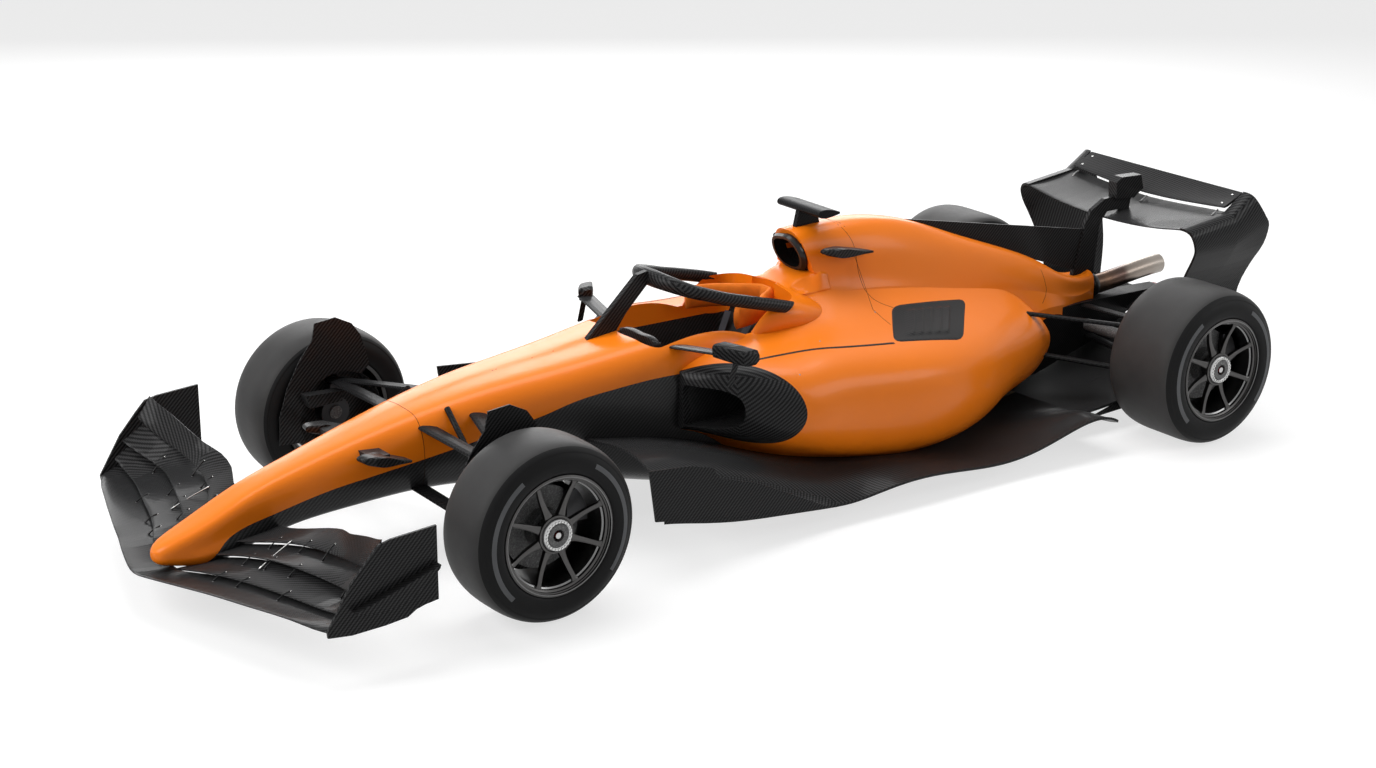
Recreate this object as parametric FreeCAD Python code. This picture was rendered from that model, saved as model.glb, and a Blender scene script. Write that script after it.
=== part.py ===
import FreeCAD, Part
import math
import os
from FreeCAD import Vector

# An open wheel single seat racing car in millimetres: nose towards +X, left side towards +Y, up is +Z.
# Every piece is drawn from the front axle, with x forward, and save() moves it so that the origin is on
# the ground below the middle of the car's length. Tables of shares are shares of the wheelbase along x,
# of the half width along y and of the body height along z.

# Driving sizes of the whole car
WHEELBASE = 3600.0
HALF_WIDTH = 1000.0
BODY_HEIGHT = 1000.0
FRONT_OVERHANG = 1265.0
REAR_OVERHANG = 765.0
FRONT_AXLE_X = (WHEELBASE + REAR_OVERHANG - FRONT_OVERHANG) / 2
SEAT_GAP = 0.3
OVERRUN = 400.0

# Wheels and tyres
TYRE_RADIUS = 360.0
FRONT_TYRE_WIDTH = 305.0
REAR_TYRE_WIDTH = 405.0
TREAD_THICKNESS = 14.0
SIDEWALL_THICKNESS = 9.0
SHOULDER_RADIUS = 58.0
BEAD_RADIUS = 232.0
RIM_WALL = 7.0
RIM_FLANGE_WIDTH = 13.0
RIM_WELL_DEPTH = 14.0
SPOKE_COUNT = 8
SPOKE_ROOT_WIDTH = 46.0
SPOKE_TIP_WIDTH = 19.0
SPOKE_DEPTH = 24.0
SPOKE_TIP_DEPTH = 15.0
HUB_FACE_INSET = 42.0
HUB_RADIUS = 62.0
HUB_BORE_RADIUS = 36.0
HUB_DEPTH = 46.0
NUT_RADIUS = 52.0
NUT_LENGTH = 26.0
NUT_BORE_RADIUS = 24.0
AXLE_RADIUS = 28.0
DISC_RADIUS = 164.0
DISC_THICKNESS = 32.0
DISC_INSET = 150.0
BELL_RADIUS = 78.0

# Uprights, ducts and steering
KINGPIN_Y = 742.0
UPRIGHT_BORE_GAP = 1.0
UPRIGHT_RING_RADIUS = 66.0
UPRIGHT_RING_LENGTH = 62.0
UPRIGHT_ARM_WIDTH = 44.0
UPRIGHT_ARM_HEIGHT = 125.0
FRONT_AXLE_INNER_Y = 714.0
REAR_AXLE_INNER_Y = 132.0
REAR_UPRIGHT_Y = 680.0
PIN_RADIUS = 9.0
PIN_LENGTH = 32.0
PIN_GAP = 1.0
EYE_RADIUS = 21.0
EYE_HEIGHT = 24.0
DISC_GAP = 4.0
CALIPER_CHEEK = 24.0
CALIPER_INNER_RADIUS = 96.0
CALIPER_OUTER_RADIUS = 190.0
CALIPER_LENGTH = 130.0
DRUM_RADIUS = 196.0
DRUM_WALL = 4.0
FRONT_LIP_Y = 676.0
REAR_LIP_Y = 606.0
DEFLECTOR_THICKNESS = 6.0
SCOOP_REACH = 56.0

# Thin sheet parts and rods
SKIN = 12.0
WING_THICKNESS = 13.0
ARM_THICKNESS = 18.0
FRONT_ARM_CHORD = 74.0
REAR_ARM_CHORD = 62.0
ROD_RADIUS = 12.0
ENDPLATE_THICKNESS = 10.0
REAR_WING_THICKNESS = 18.0
REAR_PLATE_THICKNESS = 12.0
FIN_THICKNESS = 10.0
FLAP_PIN_RADIUS = 5.0
FLAP_PIN_LENGTH = 30.0
FENCE_THICKNESS = 8.0
CAMERA_THICKNESS = 35.0
MIRROR_ARM_CHORD = 30.0
MIRROR_ARM_THICKNESS = 12.0
MIRROR_BLADE_CHORD = 78.0
MIRROR_BLADE_THICKNESS = 15.0
POD_THICKNESS = 36.0
HULL_GAP = 0.6
BODY_GAP = 0.9
SLOT_OVERLAP = 34.0
SLOT_STEP = 18.0
FOIL_FRONT = 0.6
FOIL_MIDDLE = 0.8
FOIL_MIDDLE_PLACE = 0.35
FOIL_TAIL = 0.12
CAMBER_PULL = 2.2
WING_STEPS = 2
SHOULDER_STEPS = 5
REAR_TIP_STEPS = 3
EXHAUST_RADIUS = 47.0
EXHAUST_WALL = 3.0
HALO_RADIUS = 23.0
HALO_RISE = 28.0
HALO_SIDES = 20
HALO_STEPS = 3
HALO_STAY_THICKNESS = 24.0
WHEEL_HALF_WIDTH = 135.0
WHEEL_HALF_HEIGHT = 70.0
WHEEL_THICKNESS = 32.0
COLUMN_RADIUS = 18.0


def px(share):
    return share * WHEELBASE


def py(share):
    return share * HALF_WIDTH


def pz(share):
    return share * BODY_HEIGHT


def point(xs, ys, zs):
    return Vector(px(xs), py(ys), pz(zs))


def mirrored(shape):
    return shape.mirror(Vector(0, 0, 0), Vector(0, 1, 0))


def both_sides(shape):
    return Part.makeCompound([shape, mirrored(shape)])


def closed_spline(points):
    curve = Part.BSplineCurve()
    curve.interpolate(points, PeriodicFlag=True)
    return Part.Wire([curve.toShape()])


def open_spline(points):
    curve = Part.BSplineCurve()
    curve.interpolate(points)
    return curve.toShape()


def loft(wires, ruled=False):
    return Part.makeLoft(wires, True, ruled)


def polygon(points):
    return Part.makePolygon(list(points) + [points[0]])


def block(x0, x1, y0, y1, z0, z1):
    return Part.makeBox(x1 - x0, y1 - y0, z1 - z0, Vector(x0, y0, z0))


def extruded(points, direction):
    return Part.Face(polygon(points)).extrude(direction)


def side_plate(outline_shares, y0, thickness):
    """A flat upright plate: an outline in x and z shares, from y0 outwards."""
    points = [Vector(px(a), y0, pz(b)) for a, b in outline_shares]
    return extruded(points, Vector(0, thickness, 0))


def turned(profile, axle_x, axle_z):
    """Revolves a profile of (y, radius) pairs about the axle that lies along y."""
    points = [Vector(axle_x, y, axle_z + r) for y, r in profile]
    face = Part.Face(polygon(points))
    return face.revolve(Vector(axle_x, 0, axle_z), Vector(0, 1, 0), 360)


def foil_wire(nose, tail, up, thickness, camber):
    """A wing section: a curve over it, one under it and a blunt tail; camber sinks its middle."""
    chord = tail - nose
    flat = up - chord * (up.dot(chord) / chord.dot(chord))
    flat.normalize()
    middle = nose + chord * FOIL_MIDDLE_PLACE - flat * (camber * CAMBER_PULL)
    sides = []
    for side in (thickness, -thickness):
        curve = Part.BezierCurve()
        curve.setPoles([
            nose,
            nose + flat * (side * FOIL_FRONT),
            middle + flat * (side * FOIL_MIDDLE),
            tail + flat * (side * FOIL_TAIL),
        ])
        sides.append(curve.toShape())
    above, below = sides
    blunt_tail = Part.makeLine(above.valueAt(above.LastParameter), below.valueAt(below.LastParameter))
    return Part.Wire([above, blunt_tail, below])


UP = Vector(0, 0, 1)


def spread(rows, steps):
    """Rows of numbers with smooth rows put in between: a cubic through each pair and its neighbours."""
    ends = [rows[0]] + list(rows) + [rows[-1]]
    smooth = []
    for a, b, c, d in zip(ends, ends[1:], ends[2:], ends[3:]):
        for step in range(steps):
            t = step / steps
            smooth.append(tuple(
                q + t * (r - p + t * (2 * p - 5 * q + 4 * r - s + t * (3 * q - p - 3 * r + s))) / 2
                for p, q, r, s in zip(a, b, c, d)
            ))
    return smooth + [tuple(rows[-1])]


def wing(stations, thickness, camber_share, steps=WING_STEPS):
    """Lofts a wing from (y, nose x, nose z, tail x, tail z) rows of millimetres, smoothed between the rows."""
    wires = []
    for y, nx, nz, tx, tz in spread(stations, steps):
        nose, tail = Vector(nx, y, nz), Vector(tx, y, tz)
        wires.append(foil_wire(nose, tail, UP, thickness, camber_share * (tail - nose).Length))
    return loft(wires, True)


ARM_SECTION_SHARES = ((0, 0), (0.08, 0.34), (0.3, 0.5), (0.65, 0.38), (1, 0.08))


def arm(start, end, chord, thickness):
    """A suspension arm of faceted wing section between two points."""
    above = list(ARM_SECTION_SHARES)
    below = [(along, -half) for along, half in reversed(above[1:])]
    wires = []
    for place in (start, end):
        wires.append(polygon([
            place + Vector(chord * (0.5 - along), 0, thickness * half) for along, half in above + below
        ]))
    return loft(wires, True)


# Wheels


def shoulder_arc(y, top, radius, side):
    """Points round a tyre shoulder, from the sidewall to the tread."""
    turns = [math.pi / 2 * step / SHOULDER_STEPS for step in range(SHOULDER_STEPS + 1)]
    return [(y - side * radius * (1 - math.cos(turn)), top - radius * (1 - math.sin(turn))) for turn in turns]


def tyre(axle_x, width):
    """A hollow slick tyre, turned from its outline and its air space."""
    outer_y, inner_y = HALF_WIDTH, HALF_WIDTH - width
    outline = [(outer_y - SIDEWALL_THICKNESS, BEAD_RADIUS)]
    outline += shoulder_arc(outer_y, TYRE_RADIUS, SHOULDER_RADIUS, 1)
    outline += shoulder_arc(inner_y, TYRE_RADIUS, SHOULDER_RADIUS, -1)[::-1]
    outline += [(inner_y + SIDEWALL_THICKNESS, BEAD_RADIUS)]
    air_top = TYRE_RADIUS - TREAD_THICKNESS
    air_outer, air_inner = outer_y - 2 * SIDEWALL_THICKNESS, inner_y + 2 * SIDEWALL_THICKNESS
    air = [
        (air_outer, 0),
        (air_outer, air_top - SHOULDER_RADIUS),
        (air_outer - SHOULDER_RADIUS, air_top),
        (air_inner + SHOULDER_RADIUS, air_top),
        (air_inner, air_top - SHOULDER_RADIUS),
        (air_inner, 0),
    ]
    return turned(outline, axle_x, TYRE_RADIUS).cut(turned(air, axle_x, TYRE_RADIUS))


def rim(axle_x, width):
    outer_y = HALF_WIDTH - SIDEWALL_THICKNESS
    inner_y = HALF_WIDTH - width + SIDEWALL_THICKNESS
    seat = BEAD_RADIUS - SEAT_GAP
    well = seat - RIM_WELL_DEPTH
    flange = RIM_FLANGE_WIDTH
    profile = [
        (outer_y + SIDEWALL_THICKNESS / 2, seat),
        (outer_y + SIDEWALL_THICKNESS / 2, seat - RIM_WALL),
        (outer_y - flange * 3, well - RIM_WALL),
        (inner_y + flange * 3, well - RIM_WALL),
        (inner_y - SIDEWALL_THICKNESS / 2, seat - RIM_WALL),
        (inner_y - SIDEWALL_THICKNESS / 2, seat),
        (inner_y + flange, seat),
        (inner_y + flange * 3, well),
        (outer_y - flange * 3, well),
        (outer_y - flange, seat),
    ]
    barrel = turned(profile, axle_x, TYRE_RADIUS)
    face_y = HALF_WIDTH - HUB_FACE_INSET
    hub = turned(
        [
            (face_y, HUB_BORE_RADIUS),
            (face_y, HUB_RADIUS),
            (face_y - HUB_DEPTH, HUB_RADIUS),
            (face_y - HUB_DEPTH, HUB_BORE_RADIUS),
        ],
        axle_x,
        TYRE_RADIUS,
    )
    tip_radius = well - RIM_WALL / 2
    rows = (
        (HUB_RADIUS * 0.8, SPOKE_ROOT_WIDTH, SPOKE_DEPTH, face_y - SPOKE_DEPTH / 2),
        ((HUB_RADIUS + tip_radius) / 2, SPOKE_TIP_WIDTH * 1.15, SPOKE_DEPTH * 0.8, face_y - SPOKE_DEPTH),
        (tip_radius, SPOKE_TIP_WIDTH, SPOKE_TIP_DEPTH, outer_y - flange * 3),
    )
    wires = []
    for radius, wide, deep, y in rows:
        z = TYRE_RADIUS + radius
        x0, x1 = axle_x - wide / 2, axle_x + wide / 2
        y0, y1 = y - deep / 2, y + deep / 2
        wires.append(polygon([Vector(x0, y0, z), Vector(x1, y0, z), Vector(x1, y1, z), Vector(x0, y1, z)]))
    spoke = loft(wires)
    wheel = barrel.fuse(hub)
    spokes = []
    for i in range(SPOKE_COUNT):
        copy = spoke.copy()
        copy.rotate(Vector(axle_x, 0, TYRE_RADIUS), Vector(0, 1, 0), 360.0 * (i + 0.5) / SPOKE_COUNT)
        spokes.append(copy)
    return wheel.multiFuse(spokes)


def hub(axle_x, inner_y):
    """Axle stub with the brake disc and its bell, and the wheel nut on its end."""
    face_y = HALF_WIDTH - HUB_FACE_INSET
    disc_y = HALF_WIDTH - DISC_INSET
    bell_y = face_y - HUB_DEPTH - SEAT_GAP
    return turned(
        [
            (face_y + NUT_LENGTH, NUT_BORE_RADIUS),
            (face_y + NUT_LENGTH, NUT_RADIUS - SPOKE_TIP_DEPTH / 2),
            (face_y + NUT_LENGTH / 2, NUT_RADIUS),
            (face_y + SEAT_GAP, NUT_RADIUS),
            (face_y + SEAT_GAP, HUB_BORE_RADIUS - SEAT_GAP),
            (bell_y, HUB_BORE_RADIUS - SEAT_GAP),
            (bell_y, BELL_RADIUS),
            (disc_y + DISC_THICKNESS / 2, BELL_RADIUS),
            (disc_y + DISC_THICKNESS / 2, DISC_RADIUS),
            (disc_y - DISC_THICKNESS / 2, DISC_RADIUS),
            (disc_y - DISC_THICKNESS / 2, AXLE_RADIUS),
            (inner_y, AXLE_RADIUS),
            (inner_y, 0),
            (face_y, 0),
            (face_y, NUT_BORE_RADIUS),
        ],
        axle_x,
        TYRE_RADIUS,
    )


def upright(axle_x, ring_y, pinned):
    """Bearing ring round the axle on a column, with a steering pin at each end where it steers."""
    bore = AXLE_RADIUS + UPRIGHT_BORE_GAP
    ring = turned(
        [
            (ring_y, bore),
            (ring_y, UPRIGHT_RING_RADIUS),
            (ring_y + UPRIGHT_RING_LENGTH, UPRIGHT_RING_RADIUS),
            (ring_y + UPRIGHT_RING_LENGTH, bore),
        ],
        axle_x,
        TYRE_RADIUS,
    )
    half = UPRIGHT_ARM_WIDTH / 2
    low, high = TYRE_RADIUS - UPRIGHT_ARM_HEIGHT, TYRE_RADIUS + UPRIGHT_ARM_HEIGHT
    column = block(axle_x - half, axle_x + half, ring_y, ring_y + UPRIGHT_ARM_WIDTH, low, high)
    drill = Part.makeCylinder(
        (bore + UPRIGHT_RING_RADIUS) / 2,
        UPRIGHT_RING_LENGTH,
        Vector(axle_x, ring_y, TYRE_RADIUS),
        Vector(0, 1, 0),
    )
    body = ring.fuse(column.cut(drill))
    if pinned:
        length = high - low + 2 * PIN_LENGTH
        pin = Part.makeCylinder(PIN_RADIUS, length, Vector(axle_x, ring_y + half, low - PIN_LENGTH))
        body = body.fuse(pin.cut(column).cut(drill))
    return body


def caliper(axle_x, plate_y):
    """Brake caliper over the rear edge of the disc, standing on the drum's plate."""
    disc_y = HALF_WIDTH - DISC_INSET
    far_y = disc_y + DISC_THICKNESS / 2 + DISC_GAP + CALIPER_CHEEK
    inner, outer = CALIPER_INNER_RADIUS, CALIPER_OUTER_RADIUS
    body = block(axle_x - outer, axle_x - inner, plate_y, far_y, TYRE_RADIUS, TYRE_RADIUS + CALIPER_LENGTH)
    body = body.common(Part.makeCylinder(outer, OVERRUN, Vector(axle_x, plate_y, TYRE_RADIUS),
                                         Vector(0, 1, 0)))
    room = Part.makeCylinder(
        DISC_RADIUS + DISC_GAP,
        DISC_THICKNESS + 2 * DISC_GAP,
        Vector(axle_x, disc_y - DISC_THICKNESS / 2 - DISC_GAP, TYRE_RADIUS),
        Vector(0, 1, 0),
    )
    return body.cut(room)


def drum(axle_x, lip_y, plate_y):
    """Brake drum: a tube open towards the car, closed by a plate on the end of the bearing ring."""
    bore = AXLE_RADIUS + UPRIGHT_BORE_GAP
    return turned(
        [
            (lip_y, DRUM_RADIUS - DRUM_WALL),
            (lip_y, DRUM_RADIUS),
            (plate_y + DRUM_WALL, DRUM_RADIUS),
            (plate_y + DRUM_WALL, bore),
            (plate_y, bore),
            (plate_y, DRUM_RADIUS - DRUM_WALL),
        ],
        axle_x,
        TYRE_RADIUS,
    )


DEFLECTOR_SHARES = (
    (0.0811, 0.28),
    (0.0800, 0.40),
    (0.0694, 0.52),
    (0.0528, 0.63),
    (0.0356, 0.71),
    (0.0314, 0.783),
    (0.0044, 0.793),
    (-0.0167, 0.755),
    (-0.0278, 0.70),
    (-0.0394, 0.564),
)
DEFLECTOR_START_SHARES = (0.0444, 0.27)
SCOOP_SHARES = ((0.0528, 0.492), (0.0056, 0.486), (0.0056, 0.442), (0.0472, 0.434))


def front_duct(lip_y, plate_y):
    """Drum with the curved deflector inside the tyre and the small cooling scoop."""
    outline = [Vector(px(a), lip_y, pz(b)) for a, b in (DEFLECTOR_START_SHARES,) + DEFLECTOR_SHARES]
    plate = extruded(outline, Vector(0, -DEFLECTOR_THICKNESS, 0))
    window = Part.makeCylinder(
        DRUM_RADIUS - DRUM_WALL, 2 * DEFLECTOR_THICKNESS, Vector(0, lip_y + DRUM_WALL,
                                                                 TYRE_RADIUS), Vector(0, -1, 0)
    )
    scoop_y = lip_y - SCOOP_REACH
    scoop = side_plate(SCOOP_SHARES, scoop_y, SCOOP_REACH - DEFLECTOR_THICKNESS)
    return drum(0, lip_y, plate_y).fuse(plate.cut(window)), scoop


# Hull: nose and monocoque as half sections from the top centre to the bottom centre
HULL_SHARES = (
    (0.3292, ((0, 0.230), (0.006, 0.229), (0.011, 0.226), (0.014, 0.222), (0.015, 0.217),
               (0.014, 0.212), (0.011, 0.208), (0.006, 0.205), (0, 0.204))),
    (0.3256, ((0, 0.248), (0.018, 0.247), (0.031, 0.242), (0.039, 0.230), (0.042, 0.216),
               (0.040, 0.203), (0.032, 0.193), (0.018, 0.188), (0, 0.187))),
    (0.3167, ((0, 0.268), (0.027, 0.267), (0.048, 0.259), (0.060, 0.240), (0.064, 0.220),
              (0.063, 0.200), (0.050, 0.186), (0.026, 0.180), (0, 0.179))),
    (0.3000, ((0, 0.293), (0.034, 0.292), (0.060, 0.283), (0.075, 0.258), (0.083, 0.228),
              (0.088, 0.203), (0.074, 0.180), (0.036, 0.171), (0, 0.170))),
    (0.2778, ((0, 0.325), (0.04, 0.324), (0.070, 0.314), (0.086, 0.283), (0.096, 0.243),
             (0.107, 0.210), (0.094, 0.178), (0.045, 0.163), (0, 0.161))),
    (0.2222, ((0, 0.412), (0.042, 0.411), (0.075, 0.401), (0.094, 0.368), (0.103, 0.31),
             (0.110, 0.262), (0.098, 0.222), (0.048, 0.208), (0, 0.206))),
    (0.1667, ((0, 0.478), (0.045, 0.476), (0.081, 0.465), (0.108, 0.43), (0.122, 0.37),
             (0.12, 0.31), (0.105, 0.268), (0.055, 0.252), (0, 0.25))),
    (0.1111, ((0, 0.535), (0.052, 0.533), (0.094, 0.522), (0.128, 0.48), (0.146, 0.41),
             (0.144, 0.34), (0.125, 0.292), (0.065, 0.275), (0, 0.272))),
    (0.0278, ((0, 0.612), (0.07, 0.609), (0.122, 0.596), (0.163, 0.55), (0.185, 0.47),
             (0.182, 0.38), (0.155, 0.315), (0.08, 0.288), (0, 0.285))),
    (-0.0556, ((0, 0.668), (0.08, 0.665), (0.15, 0.65), (0.195, 0.60), (0.215, 0.51),
              (0.21, 0.39), (0.18, 0.30), (0.09, 0.268), (0, 0.262))),
    (-0.1667, ((0, 0.712), (0.10, 0.709), (0.185, 0.692), (0.232, 0.64), (0.25, 0.54),
              (0.245, 0.38), (0.21, 0.25), (0.11, 0.205), (0, 0.195))),
    (-0.2778, ((0, 0.76), (0.13, 0.755), (0.235, 0.735), (0.275, 0.67), (0.285, 0.55),
              (0.28, 0.35), (0.25, 0.17), (0.13, 0.11), (0, 0.10))),
    (-0.3889, ((0, 0.73), (0.15, 0.727), (0.262, 0.712), (0.295, 0.65), (0.30, 0.53),
              (0.30, 0.33), (0.27, 0.14), (0.14, 0.085), (0, 0.08))),
    (-0.5000, ((0, 0.74), (0.14, 0.735), (0.25, 0.715), (0.29, 0.65), (0.30, 0.53),
               (0.30, 0.33), (0.27, 0.14), (0.14, 0.085), (0, 0.08))),
)
NOSE_SEAM_SHARE = 0.0278

# Cockpit opening and the raised surround behind it
COCKPIT_SHARES = (
    (0.30, -0.2833, -0.4611, 0.15),
    (0.45, -0.2722, -0.4667, 0.19),
    (0.60, -0.2639, -0.4722, 0.225),
    (0.90, -0.2583, -0.4778, 0.245),
)
FOOTWELL_SHARES = (-0.2083, -0.3056, 0.15, 0.30, 0.56)
SURROUND_SHARES = (
    (-0.3972, 0.262, 0.715),
    (-0.4167, 0.270, 0.795),
    (-0.4361, 0.280, 0.850),
    (-0.4583, 0.287, 0.862),
    (-0.4861, 0.285, 0.838),
    (-0.5056, 0.268, 0.812),
    (-0.5250, 0.235, 0.783),
)
SURROUND_ROOT_SHARE = 0.66
SURROUND_ROUND_SHARE = 0.3
HEAD_SHARES = (
    (-0.3611, 0.20), (-0.4028, 0.198), (-0.4278, 0.185), (-0.4444, 0.150), (-0.4556, 0.108), (-0.4694, 0.088),
    (-0.4819, 0.070), (-0.4889, 0.038), (-0.4911, 0),
)
HEAD_FLOOR_SHARE = 0.62


def half_ring(x_share, half_shares):
    """Closed smooth section across the car from its left half."""
    left = [point(x_share, y, z) for y, z in half_shares]
    right = [Vector(p.x, -p.y, p.z) for p in reversed(left[1:-1])]
    return closed_spline(left + right)


def hull():
    return loft([half_ring(x, half) for x, half in HULL_SHARES])


def beyond(x, forward):
    """A block that holds everything in front of a plane across the car, or behind it."""
    reach = 2 * WHEELBASE
    if forward:
        return block(x, x + reach, -reach, reach, -reach, reach)
    return block(x - reach, x, -reach, reach, -reach, reach)


def rounded_slab(z, x0, x1, half, round_share):
    """Level rectangle with rounded corners, as a wire."""
    radius = half * round_share
    base = polygon([Vector(x0, -half, z), Vector(x1, -half, z), Vector(x1, half, z), Vector(x0, half, z)])
    face = Part.Face(base)
    prism = face.extrude(Vector(0, 0, SKIN))
    upright_edges = [e for e in prism.Edges if abs(e.tangentAt(e.FirstParameter).z) > 0.5]
    prism = prism.makeFillet(radius, upright_edges)
    lowest = min(prism.Faces, key=lambda f: f.CenterOfMass.z)
    return lowest.OuterWire


def cockpit_room():
    """The space cut out for the driver: a rounded tub and the footwell ahead of it."""
    wires = [rounded_slab(pz(z), px(rear), px(front), py(half), SURROUND_ROUND_SHARE)
             for z, front, rear, half in COCKPIT_SHARES]
    tub = loft(wires)
    front, rear, half, low, high = FOOTWELL_SHARES
    return tub.fuse(block(px(rear), px(front), -py(half), py(half), pz(low), pz(high)))


def surround(hull_shape):
    """Raised collar behind the driver's shoulders, open at the head."""
    wires = []
    for x, half, top in SURROUND_SHARES:
        root = SURROUND_ROOT_SHARE
        corner = half * SURROUND_ROUND_SHARE
        wires.append(half_ring(x, ((0, top), (half - corner, top - corner / 4), (half, top - corner),
                                   (half, root + corner / 2), (half - corner, root), (0, root))))
    collar = loft(wires)
    return main_piece(collar.cut(hull_shape).cut(head_pocket()).cut(cockpit_room()))


def head_pocket():
    """Space for the head: a wide mouth that narrows to a round pocket at the back."""
    left = [point(x, y, HEAD_FLOOR_SHARE) for x, y in HEAD_SHARES]
    right = [Vector(p.x, -p.y, p.z) for p in reversed(left[:-1])]
    outline = Part.Wire([open_spline(left + right), Part.makeLine(right[-1], left[0])])
    return Part.Face(outline).extrude(Vector(0, 0, OVERRUN))


def main_piece(shape):
    return max(shape.Solids, key=lambda s: s.Volume)


# Flanks of the body: sidepod half sections from the seam on top round to the underside
FLANK_SHARES = (
    (-0.3944, ((0.10, 0.72), (0.26, 0.705), (0.38, 0.69), (0.50, 0.667), (0.60, 0.625), (0.655, 0.56),
               (0.675, 0.48), (0.655, 0.39), (0.60, 0.32), (0.50, 0.27), (0.38, 0.20), (0.10, 0.18))),
    (-0.4722, ((0.10, 0.79), (0.24, 0.735), (0.36, 0.695), (0.48, 0.663), (0.585, 0.615), (0.645, 0.545),
               (0.67, 0.45), (0.655, 0.34), (0.60, 0.245), (0.50, 0.185), (0.38, 0.13), (0.14, 0.10))),
    (-0.5556, ((0.10, 0.90), (0.225, 0.755), (0.33, 0.695), (0.45, 0.645), (0.56, 0.60), (0.635, 0.53),
              (0.665, 0.43), (0.65, 0.30), (0.60, 0.19), (0.50, 0.125), (0.38, 0.09), (0.15, 0.075))),
    (-0.6528, ((0.10, 0.87), (0.225, 0.72), (0.315, 0.665), (0.42, 0.62), (0.52, 0.575), (0.60, 0.51),
               (0.635, 0.41), (0.62, 0.28), (0.565, 0.17), (0.46, 0.105), (0.34, 0.08), (0.15, 0.07))),
    (-0.7361, ((0.08, 0.80), (0.21, 0.67), (0.29, 0.625), (0.375, 0.585), (0.45, 0.545), (0.51, 0.48),
               (0.53, 0.39), (0.515, 0.28), (0.455, 0.17), (0.36, 0.11), (0.26, 0.085), (0.15, 0.08))),
    (-0.8194, ((0.06, 0.73), (0.175, 0.615), (0.235, 0.575), (0.295, 0.54), (0.345, 0.495), (0.38, 0.435),
               (0.39, 0.37), (0.37, 0.285), (0.32, 0.21), (0.26, 0.165), (0.20, 0.15), (0.14, 0.145))),
    (-0.8667, ((0.06, 0.62), (0.14, 0.57), (0.19, 0.54), (0.235, 0.51), (0.275, 0.475), (0.30, 0.43),
               (0.31, 0.37), (0.30, 0.30), (0.27, 0.24), (0.22, 0.205), (0.17, 0.195), (0.10, 0.19))),
    (-0.8972, ((0.05, 0.50), (0.10, 0.495), (0.15, 0.48), (0.19, 0.463), (0.22, 0.44), (0.245, 0.405),
               (0.25, 0.36), (0.24, 0.31), (0.215, 0.275), (0.18, 0.255), (0.14, 0.25), (0.08, 0.25))),
    (-0.9139, ((0.04, 0.42), (0.08, 0.418), (0.12, 0.412), (0.155, 0.404), (0.18, 0.39), (0.195, 0.37),
               (0.198, 0.345), (0.19, 0.32), (0.17, 0.305), (0.14, 0.295), (0.11, 0.292), (0.06, 0.292))),
)

# Engine cover: half sections of top centre, flank and seam, then the core down to its underside
COVER_SHARES = (
    (-0.5000, ((0, 1.05), (0.05, 1.043), (0.095, 1.00), (0.115, 0.93), (0.13, 0.86), (0.17, 0.79)),
     (0.26, 0.55), 0.12),
    (-0.5556, ((0, 1.064), (0.05, 1.057), (0.10, 1.01), (0.125, 0.94), (0.145, 0.86), (0.18, 0.79)),
     (0.26, 0.55), 0.12),
    (-0.6111, ((0, 1.062), (0.05, 1.055), (0.10, 1.01), (0.135, 0.94), (0.155, 0.86), (0.185, 0.78)),
     (0.26, 0.54), 0.12),
    (-0.7014, ((0, 1.002), (0.045, 0.995), (0.09, 0.955), (0.125, 0.89), (0.15, 0.81), (0.175, 0.73)),
     (0.24, 0.52), 0.13),
    (-0.7778, ((0, 0.901), (0.045, 0.893), (0.085, 0.86), (0.115, 0.80), (0.135, 0.74), (0.155, 0.67)),
     (0.20, 0.48), 0.17),
    (-0.8861, ((0, 0.758), (0.04, 0.752), (0.07, 0.725), (0.09, 0.69), (0.105, 0.65), (0.115, 0.59)),
     (0.15, 0.475), 0.38),
    (-0.9389, ((0, 0.671), (0.038, 0.667), (0.066, 0.645), (0.082, 0.61), (0.09, 0.575), (0.095, 0.54)),
     (0.12, 0.48), 0.44),
    (-1.0278, ((0, 0.588), (0.028, 0.585), (0.048, 0.572), (0.058, 0.552), (0.062, 0.53), (0.062, 0.51)),
     (0.062, 0.48), 0.45),
)
NOTCH_SHARES = ((-0.4722, 1.2), (-0.4722, 0.81), (-0.5361, 0.80), (-0.5306, 0.848), (-0.5097, 1.06),
                (-0.4972, 1.2))
POWER_SHARES = (-0.5222, -0.7444, 0.19, 0.18, 0.60)
PORT_SHARES = ((-0.5189, 0.880), (-0.5411, 0.874), (-0.5403, 0.822), (-0.5172, 0.826))
PORT_ROOM_SHARES = (-0.5417, -0.4722, 0.072, 0.824, 0.866)
FIN_SHARES = (
    (-0.6806, 1.01), (-0.7014, 1.003), (-1.0233, 0.788), (-1.0278, 0.70), (-1.0167, 0.58),
    (-0.8889, 0.74), (-0.7778, 0.88),
)


def flank_wire(x_share, outline_shares):
    points = [point(x_share, y, z) for y, z in outline_shares]
    return Part.Wire([open_spline(points), Part.makeLine(points[-1], points[0])])


def cover_wire(x_share, top_shares, knee_shares, low_share):
    """Closed section: a smooth top over both flanks, then straight core sides and underside."""
    half = [point(x_share, y, z) for y, z in top_shares]
    other = [Vector(p.x, -p.y, p.z) for p in reversed(half)]
    top = open_spline(other[:-1] + half)
    knee = point(x_share, *knee_shares)
    foot = Vector(knee.x, knee.y, pz(low_share))
    corners = [half[-1], knee, foot]
    corners += [Vector(p.x, -p.y, p.z) for p in reversed(corners)]
    sides = [Part.makeLine(a, b) for a, b in zip(corners, corners[1:])]
    return Part.Wire([top] + sides)


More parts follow.
